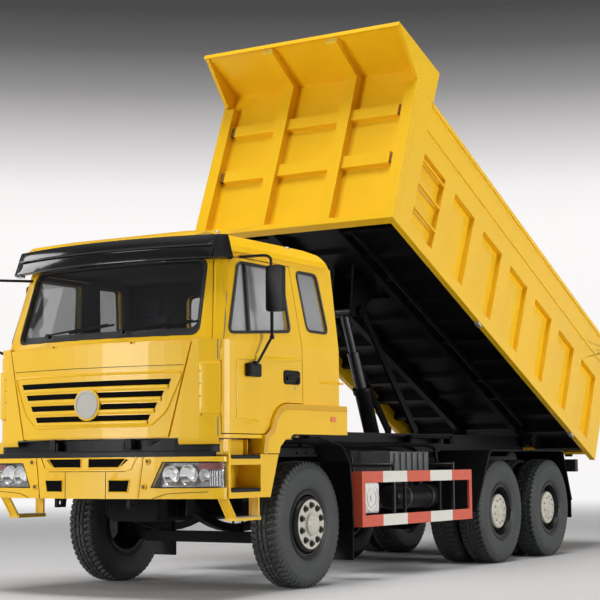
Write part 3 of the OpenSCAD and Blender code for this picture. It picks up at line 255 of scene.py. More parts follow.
def tube(path, radius, sides=8, closed=False):
    """Round bar along a polyline: a circle carried along it, square to the mean of the two directions."""
    path = np.array(path, float)
    way = np.roll(path, -1, 0) - np.roll(path, 1, 0) if closed else np.gradient(path, axis=0)
    way /= np.linalg.norm(way, axis=1)[:, None]
    ref = np.eye(3)[np.argmin(np.abs(way).max(0))]
    side = np.cross(way, ref)
    side /= np.linalg.norm(side, axis=1)[:, None]
    top = np.cross(side, way)
    angle = np.linspace(0, 2 * np.pi, sides, endpoint=False)
    ring = path[:, None] + radius * (np.cos(angle)[:, None] * side[:, None] + np.sin(angle)[:, None] * top[:, None])
    faces = [list(f) for f in grid_faces(len(path), sides, wrap_rows=closed, wrap_cols=True)]
    if not closed:
        faces += [list(range(sides))[::-1], list(range((len(path) - 1) * sides, len(path) * sides))]
    return ring, faces


def bent(points, steps=6, bend=0.35):
    """Polyline through points with its corners rounded by quadratic curves."""
    p = np.array(points, float)
    t = np.linspace(0, 1, steps)[:, None]
    out = [p[0]]
    for a, b, c in zip(p[:-2], p[1:-1], p[2:]):
        s, e = b + (a - b) * bend, b + (c - b) * bend
        out += list((1 - t) ** 2 * s + 2 * t * (1 - t) * b + t ** 2 * e)
    return np.array(out + [p[-1]])


def box(a, b, soften=0.004):
    """Block between two corners; each face is drawn in by soften, and strips join them."""
    a, b = np.minimum(a, b), np.maximum(a, b)
    s = min(soften, 0.3 * (b - a).min())
    ring = lambda e: [(a[1] + e, a[2] + e), (b[1] - e, a[2] + e), (b[1] - e, b[2] - e), (a[1] + e, b[2] - e)]
    rings = [(a[0], s), (a[0] + s, 0), (b[0] - s, 0), (b[0], s)]
    points = [(x, y, z) for x, e in rings for y, z in ring(e)]
    faces = [list(f)[::-1] for f in grid_faces(4, 4, wrap_cols=True)] + [[0, 1, 2, 3], [12, 13, 14, 15]]
    return np.array(points), faces


def mirrored(parts):
    """Parts and their image on the truck's other side, with the faces turned round."""
    return list(parts) + [(np.asarray(p).reshape(-1, 3) * [-1, 1, 1], [list(f)[::-1] for f in fs]) for p, fs in parts]


def nuts(centres, radius, height, axis=0, way=1, sides=6):
    """Hexagon nuts with a domed end, standing along an axis at each centre."""
    shape = [(0.001, 0), (radius, 0), (radius, way * height * 0.7), (radius * 0.8, way * height), (0.001, way * height)]
    return [turned(shape, c, sides, axis) for c in centres]


BLACK = (0.006, 0.006, 0.007)
MID_AXLE, REAR_AXLE = 3.85, 5.2
chassis_black = coated("chassis_black", BLACK, 0.34, mottle=0.3, dust=0.015, gleam=0.1)
casting = coated("casting", (0.007, 0.007, 0.009), 0.45, mottle=0.3, grain=0.002, grain_scale=90.0, dust=0.015,
                 gleam=0.04)
dress(["frame_rails", "subframe", "leaf_springs", "mudguards", "air_tanks", "hoist_barrel", "lift_arms", "fuel_tank"],
      chassis_black, 0.004)
dress(["front_axle", "rear_axles", "engine", "propshafts", "knuckle_left", "knuckle_right", "tie_rod"], casting, 0.005)

web_bolts = [at(0.425, y, z) for y in np.arange(0.95, 6.1, 0.17) for z in (0.985, 1.19)]
put("rail_bolts", mirrored(nuts(web_bolts, 0.013, 0.012)), casting, "chassis", smooth=False)
u_bolts = [tube([at(x, y, low), at(x, y, high)], 0.011)
           for y, low, high in ((0, 0.40, 0.575), (MID_AXLE, 0.47, 0.72), (REAR_AXLE, 0.47, 0.72))
           for x in (0.335, 0.435)]
put("spring_bolts", mirrored(u_bolts), casting, "chassis")
rail_bar = [box(at(0.50, 3.02, 1.346), at(0.585, 3.98, 1.380)), box(at(0.50, 3.93, 1.29), at(0.585, 4.02, 1.382)),
            box(at(0.415, 3.12, 1.30), at(0.51, 3.18, 1.36)), box(at(0.415, 3.80, 1.30), at(0.51, 3.86, 1.36))]
put("gear_rail", mirrored(rail_bar), casting, "chassis")
chambers = []
for station in (MID_AXLE, REAR_AXLE):
    drum = [(0.001, -0.11), (0.075, -0.10), (0.085, -0.02), (0.092, 0.0), (0.085, 0.02), (0.078, 0.10), (0.001, 0.11)]
    chambers.append(turned(drum, at(0.60, station + 0.16, 0.665), 20, 1))
chambers.append(box(at(0.50, 3.40, 0.78), at(0.56, 3.62, 0.96), 0.01))
put("brake_chambers", mirrored(chambers), casting, "chassis")
hoses = [tube(bent([at(0.46, 0.62, 1.26), at(0.50, 1.6, 1.25), at(0.52, 2.5, 1.24), at(0.62, 2.75, 1.18),
                    at(0.66, 2.80, 0.95), at(0.60, 2.95, 0.75)]), 0.016),
         tube(bent([at(0.44, 0.70, 1.29), at(0.47, 1.3, 1.30), at(0.47, 2.2, 1.28), at(0.47, 3.0, 1.30),
                    at(0.44, 3.4, 1.22)]), 0.011),
         tube(bent([at(0.50, 1.62, 1.25), at(0.60, 1.68, 1.20), at(0.62, 1.70, 1.0), at(0.66, 1.72, 0.86)]), 0.013),
         tube(bent([at(0.50, 0.9, 1.255), at(0.62, 1.538, 1.265), at(0.62, 3.25, 1.275), at(0.63, 3.46, 1.24),
                    at(0.66, 3.49, 0.97), at(0.80, 3.2, 0.62)], 6, 0.2), 0.019),
         tube(bent([at(0.60, 4.0, 0.75), at(0.62, 4.2, 0.95), at(0.46, 4.3, 1.08)]), 0.010),
         tube(bent([at(0.60, 5.36, 0.75), at(0.62, 5.5, 0.95), at(0.46, 5.55, 1.08)]), 0.010)]
put("air_hoses", hoses, chassis_black, "chassis")

# Wheels and tyres
# Radial truck tyres with deep shoulder blocks on pressed steel discs held by ten nuts.
# The rims are black enamel, the front discs and the rear hub covers cream.
TYRE_R, AXLE_Z, DISC_R, PITCHES, TREAD_DEPTH = 0.556, 0.556, 0.215, 60, 0.016


def tyre_skin(centre):
    """Tyre as radius(angle, arc): a smooth section whose crown is cut by zigzag grooves and slanted shoulder slots."""
    half = np.array([(0.278, 0.108), (0.298, 0.116), (0.309, 0.127), (0.320, 0.134), (0.326, 0.1365), (0.334, 0.1385),
                     (0.365, 0.147), (0.4255, 0.15), (0.470, 0.147), (0.484, 0.1465), (0.490, 0.143), (0.500, 0.140),
                     (0.518, 0.134), (0.530, 0.130), (0.542, 0.124), (0.551, 0.116)])
    crown = np.linspace(0.108, -0.108, 31)
    section = np.concatenate([half, np.stack([TYRE_R - 0.30 * crown ** 2, crown], -1), half[::-1] * [1, -1]])
    radius, across = section.T
    angle = np.linspace(0, 2 * np.pi, PITCHES * 6, endpoint=False)[:, None]
    step = angle * PITCHES / (2 * np.pi)
    zig = 0.006 * np.abs((step % 1.0) * 2 - 1)
    grooves = np.zeros((len(angle), len(radius)))
    for line in (-0.046, 0.0, 0.046):
        grooves = np.maximum(grooves, np.abs(across - line - zig + 0.003) < 0.0052)
    slot = ((step + 4.0 * np.abs(across)) % 1.0 < 0.36) & (np.abs(across) > 0.058) & (radius > 0.495)
    rib = ((step * 0.5 + 3.0 * across) % 1.0 < 0.17) & (np.abs(across) < 0.044)
    depth = np.maximum(np.maximum(grooves, slot), 0.6 * rib) * np.clip((radius - 0.485) / 0.045, 0, 1)
    r = radius - TREAD_DEPTH * depth
    points = np.stack([across + 0 * angle, r * np.cos(angle), r * np.sin(angle)], -1) + np.asarray(centre)
    return points, grid_faces(len(angle), len(radius), wrap_rows=True)[:, ::-1]


def ring_points(centre, radius, count, start=0.0):
    """Points evenly round a circle square to X."""
    a = start + np.linspace(0, 2 * np.pi, count, endpoint=False)
    return np.asarray(centre) + radius * np.stack([0 * a, np.cos(a), np.sin(a)], -1)


def calc(material, kind, *values):
    """Output of a maths node; values are numbers or sockets."""
    return wire(material, "ShaderNodeMath", dict(enumerate(values)), operation=kind).outputs[0]


def masked(material, share, colour, rough):
    """Mixes another colour and gloss into a material where share is 1."""
    shader = material.node_tree.nodes["Principled BSDF"]
    old, matt = shader.inputs["Base Color"].links[0].from_socket, shader.inputs["Roughness"].links[0].from_socket
    gloss = wire(material, "ShaderNodeMix", {"Factor": share, 2: matt, 3: rough}).outputs[0]
    material.node_tree.links.new(blended(material, share, old, (*colour, 1)), shader.inputs["Base Color"])
    material.node_tree.links.new(gloss, shader.inputs["Roughness"])


def spot(material):
    """Sockets X, Y and Z of the shaded point in the row's frame."""
    place = wire(material, "ShaderNodeTexCoord").outputs["Object"]
    return wire(material, "ShaderNodeSeparateXYZ", {"Vector": place}).outputs


def axle_radius(material, station):
    """Socket with a point's distance from an axle's line: sqrt(y^2 + z^2) counted from the axle."""
    place = spot(material)
    y = calc(material, "SUBTRACT", place["Y"], station - MIDDLE)
    z = calc(material, "SUBTRACT", place["Z"], AXLE_Z)
    square = calc(material, "ADD", calc(material, "MULTIPLY", y, y), calc(material, "MULTIPLY", z, z))
    return calc(material, "SQRT", square)


CREAM = (0.58, 0.56, 0.48)
cream = coated("wheel_cream", CREAM, 0.38, mottle=0.1, scale=6.0, dust=0.3, dust_top=1.2)
front_paint = coated("wheel_front", (0.008, 0.008, 0.009), 0.40, mottle=0.2, scale=6.0, gleam=0.35)
masked(front_paint, calc(front_paint, "LESS_THAN", axle_radius(front_paint, 0.0), DISC_R), CREAM, 0.38)
wheel_dark = coated("wheel_dark", (0.008, 0.008, 0.009), 0.40, mottle=0.2, scale=6.0, dust=0.06, dust_top=1.2,
                    gleam=0.35)
nut_dark = coated("nut_dark", (0.06, 0.055, 0.05), 0.4, mottle=0.2, scale=30.0, metal=0.6)
nut_pale = coated("nut_pale", (0.50, 0.48, 0.42), 0.4, mottle=0.2, scale=30.0, metal=0.5)
rubber = coated("tyre_rubber", (0.036, 0.041, 0.041), 0.55, mottle=0.25, scale=9.0, grain=0.0012, grain_scale=220.0,
                dust=0.05, dust_top=1.1, gleam=0.4)
dress(["front_wheel_left", "front_wheel_right"], front_paint, 0.004)
dress(["mid_wheels_left", "mid_wheels_right", "rear_wheels_left", "rear_wheels_right"], wheel_dark, 0.004)
wheel_sets = [("front_tyre_left", "front_wheel_left", 1, [1.005], 0.0),
              ("front_tyre_right", "front_wheel_right", -1, [1.005], 0.0)]
for axle_name, station in (("mid", MID_AXLE), ("rear", REAR_AXLE)):
    for side_name, sign in (("left", 1), ("right", -1)):
        wheel_sets.append((f"{axle_name}_tyres_{side_name}", f"{axle_name}_wheels_{side_name}", sign, [0.76, 1.10],
                           station))
for tyre_node, wheel_body, sign, places, station in wheel_sets:
    skins = [tyre_skin(at(sign * x, station, AXLE_Z)) for x in places]
    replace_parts(put(tyre_node + "_tread", skins, rubber, wheel_body), tyre_node)
    lock_x = places[-1] + (0.118 if sign > 0 else 0.128)
    lock = turned([(0.276, -0.004), (0.297, 0.0), (0.303, 0.008), (0.297, 0.014), (0.285, 0.012), (0.276, 0.004)],
                  at(sign * lock_x, station, AXLE_Z), 48)
    put(wheel_body + "_lock_ring", [lock], wheel_dark, wheel_body)
    valve = at(sign * (places[-1] + 0.095), station + 0.255, AXLE_Z)
    put(wheel_body + "_valve", [tube([valve, valve + [sign * 0.05, -0.012, 0]], 0.006)], nut_dark, wheel_body)
    if len(places) == 1:
        hub = at(sign * 1.163, station, AXLE_Z)
        stud_ring = ring_points(hub, 0.1675, 10, 0.31)
        put(wheel_body + "_nuts", nuts(stud_ring, 0.021, 0.030, 0, sign), nut_dark, wheel_body,
            smooth=False)
        seat = [(0.022, 0), (0.031, 0), (0.031, sign * 0.006), (0.022, sign * 0.006)]
        put(wheel_body + "_seats", [turned(seat, c, 16) for c in stud_ring], nut_dark, wheel_body)
        dome = [(0.098, 0.0), (0.098, 0.020), (0.088, 0.028), (0.060, 0.034), (0.001, 0.036)]
        cap = turned([(r, sign * d) for r, d in dome], hub + [sign * 0.006, 0, 0], 40)
        put(wheel_body + "_cap", [cap], cream, wheel_body)
        cap_ring = ring_points(hub + [sign * 0.033, 0, 0], 0.078, 8, 0.2)
        put(wheel_body + "_cap_bolts", nuts(cap_ring, 0.008, 0.008, 0, sign), nut_pale, wheel_body,
            smooth=False)
    else:
        hub = at(sign * 1.206, station, AXLE_Z)
        shell = [(0.001, 0.016), (0.070, 0.016), (0.078, 0.008), (0.086, 0.004), (0.150, 0.004), (0.168, 0.001),
                 (0.180, -0.006), (0.184, -0.020), (0.184, -0.060)]
        cover = turned([(r, sign * d) for r, d in shell], hub, 48)
        put(wheel_body + "_hub_cover", [cover], cream, wheel_body)
        hub_bolts = nuts(ring_points(hub + [sign * 0.003, 0, 0], 0.128, 10, 0.2), 0.014, 0.016, 0, sign)
        hub_bolts += nuts(ring_points(hub + [sign * 0.015, 0, 0], 0.052, 8), 0.008, 0.008, 0, sign)
        put(wheel_body + "_hub_bolts", hub_bolts, nut_pale, wheel_body, smooth=False)
        stud_ring = ring_points(at(sign * 1.115, station, AXLE_Z), 0.222, 10, 0.1)
        put(wheel_body + "_nuts", nuts(stud_ring, 0.017, 0.030, 0, sign), nut_dark, wheel_body,
            smooth=False)

# Bumper
# A pressed yellow shell screwed to the frame's front brackets, its middle section set off by seams.
# Dark plastic steps lie on its top edge.
YELLOW = (0.90, 0.53, 0.006)
FRONT_ARC, BUMPER_CORNER, BUMPER_CORNER_X = 3.826, 0.108, 1.137
yellow = coated("truck_yellow", YELLOW, 0.40, mottle=0.04, scale=1.2, coat=0.12, gleam=0.4, grain=0.0003,
                grain_scale=260.0, dust=0.05, dust_top=1.4, dust_colour=(0.45, 0.34, 0.14))
plastic = coated("dark_plastic", (0.007, 0.0075, 0.0085), 0.40, mottle=0.15, grain=0.0010, grain_scale=320.0,
                 gleam=0.16)
groove, _ = blank("seam_shadow", (0.10, 0.055, 0.004), 0.8)
# Near-black with almost no gloss: painted shade for the hidden insides of slots and openings.
painted_shade_sheet, _ = blank("painted_shade_black", (0.004, 0.004, 0.0045), 0.9, Specular_IOR_Level=0.05)
dress(["front_bumper", "cab_steps"], yellow, 0.008)
dress(["bumper_step"], plastic, 0.008)


def bumper_point(x, z, out=0.0):
    """Point on the bumper's outer face: an arc of FRONT_ARC in plan that ends in round corners, moved outwards."""
    x = np.asarray(x, float)
    centre, corner, inner = BUMPER_FRONT + FRONT_ARC, BUMPER_CORNER + out, FRONT_ARC - BUMPER_CORNER
    front = centre - np.sqrt((FRONT_ARC + out) ** 2 - x ** 2)
    corner_y = centre - np.sqrt(inner ** 2 - BUMPER_CORNER_X ** 2)
    past = np.maximum(np.abs(x) - BUMPER_CORNER_X, 0)
    round_end = corner_y - np.sqrt(np.maximum(corner ** 2 - past ** 2, 0))
    y = np.where(np.abs(x) < BUMPER_CORNER_X + corner * BUMPER_CORNER_X / inner, front, round_end)
    return np.stack([x, y - MIDDLE, np.asarray(z, float) + 0 * x], -1)


def seam(curve, knots, radius=0.003, steps=8):
    """Thin dark bead along straight runs between (x, z) knots on a curved face."""
    knots = np.array(knots, float)
    t = np.linspace(0, 1, steps, endpoint=False)[:, None]
    flat = np.concatenate([a + (b - a) * t for a, b in zip(knots[:-1], knots[1:])] + [knots[-1:]])
    return tube(curve(flat[:, 0], flat[:, 1]), radius, 6)


seams = [seam(bumper_point, [(0.565, 1.148), (0.545, 1.02), (0.52, 0.815)]),
         seam(bumper_point, [(0.50, 1.148), (0.45, 1.05), (0.40, 1.035), (0.0, 1.035)]),
         seam(bumper_point, [(0.215, 1.03), (0.215, 0.815)]),
         seam(bumper_point, [(0.66, 0.815), (0.78, 0.852), (0.95, 0.862), (1.13, 0.868)])]
put("bumper_seams", mirrored(seams), groove, "chassis")
screw_spots = [bumper_point(x, z) for x, z in ((0.617, 1.115), (0.580, 0.909))]
put("bumper_screws", mirrored(nuts(screw_spots, 0.013, 0.008, 1, -1, 16)), nut_dark, "chassis")
screw_rings = [turned([(0.014, 0.004), (0.016, -0.008), (0.022, -0.010), (0.028, -0.004), (0.029, 0.004)], c, 24, 1)
               for c in screw_spots]
put("screw_rings", mirrored(screw_rings), yellow, "chassis")
swages = [seam(bumper_point, [(0.512, 1.150), (0.462, 1.058), (0.41, 1.045), (0.0, 1.045)], 0.010),
          seam(bumper_point, [(0.572, 1.150), (0.552, 1.02), (0.527, 0.815)], 0.008)]
put("bumper_swages", mirrored(swages), yellow, "chassis")
slot_lips = []
for low, high, z0, z1 in ((0.040, 0.415, 1.066, 1.142), (0.245, 0.45, 0.866, 0.966)):
    lean = 0.07 if z0 > 1 else 0.02
    below = bumper_point(np.linspace(low, high - lean, 6), z0, 0.001)
    above = bumper_point(np.linspace(high, low, 6), z1, 0.001)
    slot_lips.append(tube(np.concatenate([below, above]), 0.005, 8, True))
put("slot_lips", mirrored(slot_lips), yellow, "chassis")
# Black sheets just proud of the slots' openings and black boxes behind them: painted shade for the slots' hidden
# insides.
voids = []
for low, foot, head, z0, z1, count in ((0.045, 0.345, 0.405, 1.070, 1.138, 10), (0.25, 0.43, 0.445, 0.870, 0.962, 6)):
    rows = [bumper_point(np.linspace(low, end, count), z, 0.0015) for end, z in ((foot, z0), (head, z1))]
    voids.append((np.stack(rows), grid_faces(2, count)))
put("slot_painted_shade", mirrored(voids), painted_shade_sheet, "chassis")
backs = [box(at(0.02, -1.60, 1.05), at(0.46, -1.575, 1.145)), box(at(0.47, -1.62, 0.85), at(0.49, -1.56, 0.98))]
put("slot_backs", mirrored(backs), painted_shade_sheet, "chassis")
shield_x = np.linspace(-1.165, 1.165, 48)
shield = np.stack([bumper_point(shield_x, z, -0.122) for z in (1.186, 1.22, 1.255, 1.294)])
shield_backs = mirrored([box(at(0.44, -0.915, 1.12), at(1.10, -0.900, 1.292))])
put("step_shield", [(shield, grid_faces(4, 48))] + shield_backs, plastic, "chassis")
pads = [tube(bumper_point(np.linspace(-1.02, 1.02, 40), 1.1935, -d), 0.006, 6) for d in (0.03, 0.055, 0.08)]
put("step_ribs", pads, plastic, "chassis")

# Headlamps
# Clear units in the bumper's ends: a grey metal housing, three chromed bowls with glass cores, and a red signal cell.
# A thin dark seal runs round each lens.
lens, _ = blank("lamp_lens", (0.55, 0.57, 0.58), 0.03, Alpha=0.10, IOR=1.45)
dress(["headlamps"], lens)
mirror_bowl, _ = blank("lamp_bowl", (0.86, 0.87, 0.88), 0.10, Metallic=1.0)
housing = coated("lamp_housing", (0.30, 0.31, 0.32), 0.25, metal=0.85, mottle=0.2, scale=20.0)
core, _ = blank("lamp_core", (0.95, 0.95, 0.92), 0.05, Coat_Weight=1.0)
red_cell = coated("red_cell", (0.22, 0.012, 0.008), 0.15, grain=0.004, grain_scale=300.0)
back_x = np.linspace(0.68, 1.205, 14)
back = np.stack([bumper_point(back_x, z, -0.085) for z in (0.905, 0.97, 1.04, 1.104)])
put("lamp_backs", mirrored([(back, grid_faces(4, 14))]), housing, "chassis")
bowls, cores = [], []
for x, z, r in ((0.805, 1.000, 0.078), (0.955, 1.004, 0.082), (1.085, 1.000, 0.052)):
    mid = bumper_point(x, z, -0.045)
    dish = [(r, -0.020), (r * 1.05, -0.024), (r * 1.05, -0.015), (r * 0.9, 0.0), (r * 0.6, 0.022), (r * 0.3, 0.032),
            (0.001, 0.034)]
    bowls.append(turned(dish, mid, 32, 1))
    cores.append(turned([(r * 0.42, 0.026), (r * 0.40, 0.004), (r * 0.25, -0.006), (0.001, -0.010)], mid, 24, 1))
put("lamp_bowls", mirrored(bowls), mirror_bowl, "chassis")
put("lamp_cores", mirrored(cores), core, "chassis")
cell = np.stack([bumper_point(np.linspace(1.03, 1.215, 10), z, -0.03) for z in (1.045, 1.10)])
put("lamp_signals", mirrored([(cell, grid_faces(2, 10))]), red_cell, "chassis")
lamp_ribs = [tube([bumper_point(x, 0.915, -0.03), bumper_point(x, 1.035, -0.03)], 0.004, 6)
             for x in np.linspace(1.13, 1.215, 6)]
put("lamp_ribs", mirrored(lamp_ribs), mirror_bowl, "chassis")
lamp_line = np.concatenate([bumper_point(np.linspace(0.645, 1.238, 16), 0.903, -0.001),
                            bumper_point(np.linspace(1.238, 0.745, 16), 1.106, -0.001)])
put("lamp_seals", mirrored([tube(lamp_line, 0.005, 6, True)]), plastic, "chassis")

# Tail lamps
# Black boxes on the frame's end whose rear faces are moulded red lenses.
tail_red = coated("tail_red", (0.42, 0.012, 0.012), 0.18, mottle=0.1)
lens_line = max(v.co.y for v in node["tail_lamps"].data.vertices) - 0.014
masked(tail_red, calc(tail_red, "LESS_THAN", spot(tail_red)["Y"], float(lens_line)), BLACK, 0.5)
dress(["tail_lamps"], tail_red, 0.006)

# Steps below the doors
# Pressed yellow boxes with two treads faced with ribbed rubber; sheets close the well above the upper tread.
# A hoop of flat straps hangs below, and its tread is bare steel.
tread_parts = []
for z in (0.872, 1.142):
    tread_parts.append(box(at(1.03, -1.352, z), at(1.236, -0.925, z + 0.014)))
    tread_parts += [tube([at(x, -1.345, z + 0.016), at(x, -0.932, z + 0.016)], 0.005, 6)
                    for x in np.linspace(1.05, 1.22, 6)]
    tread_parts.append(box(at(1.232, -1.352, z - 0.012), at(1.244, -0.925, z + 0.014)))
put("step_rubber", mirrored(tread_parts), plastic, "chassis")
hoop_plate = [box(at(1.105, -1.25, 0.651), at(1.23, -0.90, 0.656))]
hoop_plate += [tube([at(1.11, y, 0.657), at(1.225, y, 0.657)], 0.004, 6) for y in np.linspace(-1.24, -0.91, 12)]
put("hoop_treads", mirrored(hoop_plate), nut_pale, "chassis")
leaning = box(at(1.13, -1.376, 0.645), at(1.205, -1.364, 0.815))
leaning[0][:, 1] += (0.817 - leaning[0][:, 2]) * 0.13 / 0.177
hoop_straps = [leaning, box(at(1.13, -0.916, 0.645), at(1.205, -0.904, 0.815))]
well = [box(at(1.070, -1.352, 1.146), at(1.078, -0.917, 1.290)), box(at(1.18, -1.384, 1.146), at(1.236, -1.354, 1.290)),
        box(at(1.070, -0.928, 1.146), at(1.114, -0.918, 1.290))]
put("step_plates", mirrored(hoop_straps + well), yellow, "chassis")

# Mudguards
# Rubber flaps with a steel clamp strip hang from the bent sheets, and a rolled edge stiffens each sheet.
flaps = [box(at(0.86, 0.748, 0.20), at(1.155, 0.758, 0.52)), box(at(0.66, 5.83, 0.42), at(1.235, 5.84, 0.66))]
put("mud_flaps", mirrored(flaps), plastic, "chassis")
clamps = [box(at(0.86, 0.742, 0.49), at(1.155, 0.764, 0.52)), box(at(0.66, 5.822, 0.62), at(1.235, 5.848, 0.66))]
rolls = [tube(bent([at(1.243, 3.195, 0.575), at(1.243, 3.57, 1.212), at(1.243, 5.58, 1.212), at(1.243, 5.825, 0.63)],
                   6, 0.06), 0.009),
         tube(bent([at(1.158, 0.16, 1.316), at(1.158, 0.56, 1.248), at(1.158, 0.69, 1.10), at(1.158, 0.735, 0.80),
                    at(1.158, 0.752, 0.48)], 5, 0.2), 0.008)]
put("guard_edges", mirrored(clamps + rolls), chassis_black, "chassis")

# Side guards
# Flat steel bars painted in red and white bands as a warning to other road users.
# The arms behind them are black, like the frame that they are bolted to.
BANDS_FROM, BAND_PAIR, RED_BAND = 0.68, 0.975, 0.49
ARM_X, ARMS_FROM, ARMS_TO = 1.224, 0.80, 3.02
guard_paint, guard_shader = blank("guard_bands", rough=0.42)
guard_at = spot(guard_paint)
along = guard_at["Y"]
cycle = calc(guard_paint, "FLOORED_MODULO", calc(guard_paint, "ADD", along, MIDDLE - BANDS_FROM), BAND_PAIR)
pale = calc(guard_paint, "GREATER_THAN", cycle, RED_BAND)
guard_place = wire(guard_paint, "ShaderNodeTexCoord").outputs["Object"]
scuffs = wire(guard_paint, "ShaderNodeTexNoise", {"Scale": 14.0, "Detail": 6.0, "Vector": guard_place}).outputs["Fac"]
red_tone = blended(guard_paint, scuffs, (0.56, 0.075, 0.035, 1), (0.66, 0.11, 0.055, 1))
white_tone = blended(guard_paint, scuffs, (0.66, 0.66, 0.58, 1), (0.76, 0.75, 0.68, 1))
bands = blended(guard_paint, pale, red_tone, white_tone)
behind = calc(guard_paint, "LESS_THAN", calc(guard_paint, "ABSOLUTE", guard_at["X"]), ARM_X)
past_front = calc(guard_paint, "GREATER_THAN", along, ARMS_FROM - MIDDLE)
short_of_end = calc(guard_paint, "LESS_THAN", along, ARMS_TO - MIDDLE)
arms = calc(guard_paint, "MULTIPLY", behind, calc(guard_paint, "MULTIPLY", past_front, short_of_end))
guard_paint.node_tree.links.new(blended(guard_paint, arms, bands, (*BLACK, 1)), guard_shader.inputs["Base Color"])
dress(["side_guards"], guard_paint, 0.004)
posts = [box(at(1.195, y - 0.018, 0.51), at(1.219, y + 0.018, 1.0)) for y in (1.67, 2.42)]
put("guard_posts", mirrored(posts), chassis_black, "chassis")

# Boxes and tanks on the rails
# A ribbed grey battery cover, black air reservoirs with domed ends, a fuel tank on straps and a white filter cover.
grey_cover = coated("grey_cover", (0.11, 0.115, 0.12), 0.5, mottle=0.25, scale=8.0)
dress(["battery_box"], grey_cover, 0.008)
tank_straps = [tube(bent([at(-0.50, y, 0.60), at(-0.515, y, 0.53), at(-1.0, y, 0.53), at(-1.16, y, 0.545),
                          at(-1.16, y, 0.8), at(-1.16, y, 1.02), at(-1.0, y, 1.03), at(-0.5, y, 1.03)], 5, 0.25), 0.012)
               for y in (1.76, 2.46)]
tank_straps += [turned([(0.116, -0.02), (0.119, -0.02), (0.119, 0.02), (0.116, 0.02)], at(x, y, 0.75), 32, 1)
                for x in (0.70, 1.02) for y in (1.95, 2.43)]
put("tank_straps", tank_straps, nut_dark, "chassis")
ends = [turned([(0.115, 0.0), (0.105, way * 0.02), (0.07, way * 0.035), (0.001, way * 0.042)], at(x, y, 0.75), 32, 1)
        for x in (0.70, 1.02) for y, way in ((1.71, -1), (2.56, 1))]
filler_cap = [turned([(0.001, 0.05), (0.05, 0.05), (0.056, 0.044), (0.056, 0.0)], at(-0.95, 1.75, 1.02), 24, 2)]
put("tank_ends", ends + filler_cap, chassis_black, "chassis")
white_paint = coated("white_cover", (0.74, 0.74, 0.72), 0.4, mottle=0.08)
dial_at = at(1.18, 1.06, 0.76)
dial = [box(at(1.10, 0.90, 0.62), at(1.18, 1.22, 0.90), 0.02),
        turned([(0.001, 0.012), (0.03, 0.012), (0.034, 0.0)], dial_at, 24)]
for ring in ([(0.075, 0.0), (0.080, 0.010), (0.090, 0.010), (0.095, 0.0)],
             [(0.118, 0.0), (0.123, 0.008), (0.131, 0.008), (0.136, 0.0)]):
    dial.append(turned(ring, dial_at, 32))
put("filter_cover", dial, white_paint, "chassis")
pot = [turned([(0.001, -0.30), (0.11, -0.29), (0.125, -0.27), (0.125, 0.0), (0.001, 0.0)], at(1.10, 1.06, 0.76), 32),
       box(at(0.425, 1.02, 0.96), at(1.0, 1.10, 1.0)), box(at(0.93, 1.03, 0.80), at(0.99, 1.09, 0.98))]
put("filter_pot", pot, chassis_black, "chassis")

# Cab shell
# Spot-welded steel painted yellow outside, lined with grey vinyl inside, with black sound deadening below.
# Air vanes stand on the front corners; a rib crosses the rear corner and an orange marker sits on the flare.
CAB_HALF, CAB_FRONT, CAB_REAR, WAIST, GUTTER = 1.215, -1.655, 0.420, 2.100, 2.850
# The front corners have a radius whose middle is counted from the truck's middle and from the front.
# The front's arc meets them at an angle whose sine is CORNER_SINE.
# Up to the gutter the cab loses shares of its width and length, and its screen is set back.
CORNER_R, CORNER_X, CORNER_BACK, CORNER_SINE = 0.25, 0.965, 0.3827, 0.2699
NARROWING, SHORTENING, SCREEN_BACK = 0.07, 0.12, 0.085
LINING, FLOOR_Z, DEADENED_Z, DEADENED_HALF = 0.050, 1.31, 1.303, 1.08
lined = coated("cab_paint", YELLOW, 0.40, mottle=0.04, scale=1.2, coat=0.12, gleam=0.4, grain=0.0003, grain_scale=260.0)
lined_at = spot(lined)
rise = wire(lined, "ShaderNodeMapRange",
            {"Value": lined_at["Z"], "From Min": WAIST, "From Max": GUTTER}).outputs["Result"]
narrow = calc(lined, "SUBTRACT", 1.0, calc(lined, "MULTIPLY", rise, NARROWING))
short = calc(lined, "SUBTRACT", 1.0, calc(lined, "MULTIPLY", rise, SHORTENING))
wide = calc(lined, "DIVIDE", calc(lined, "ABSOLUTE", lined_at["X"]), narrow)
reach = calc(lined, "DIVIDE", calc(lined, "SUBTRACT", lined_at["Y"], CAB_REAR - MIDDLE), short)
bow = calc(lined, "MULTIPLY", calc(lined, "MULTIPLY", wide, wide), 1 / (2 * FRONT_ARC))
upper = calc(lined, "MULTIPLY", calc(lined, "GREATER_THAN", lined_at["Z"], WAIST + 0.002), SCREEN_BACK)
front_line = calc(lined, "ADD", calc(lined, "ADD", bow, upper), CAB_FRONT - CAB_REAR + LINING)
inside = calc(lined, "MULTIPLY", calc(lined, "LESS_THAN", wide, CAB_HALF - LINING),
              calc(lined, "LESS_THAN", reach, -LINING))
inside = calc(lined, "MULTIPLY", inside, calc(lined, "GREATER_THAN", reach, front_line))
inside = calc(lined, "MULTIPLY", inside, calc(lined, "GREATER_THAN", lined_at["Z"], FLOOR_Z))
masked(lined, inside, (0.16, 0.16, 0.155), 0.8)
below = calc(lined, "MULTIPLY", calc(lined, "LESS_THAN", lined_at["Z"], DEADENED_Z),
             calc(lined, "LESS_THAN", wide, DEADENED_HALF))
masked(lined, below, (0.008, 0.008, 0.008), 0.8)
dress(["cab_shell", "door_left", "door_right"], lined, 0.006)


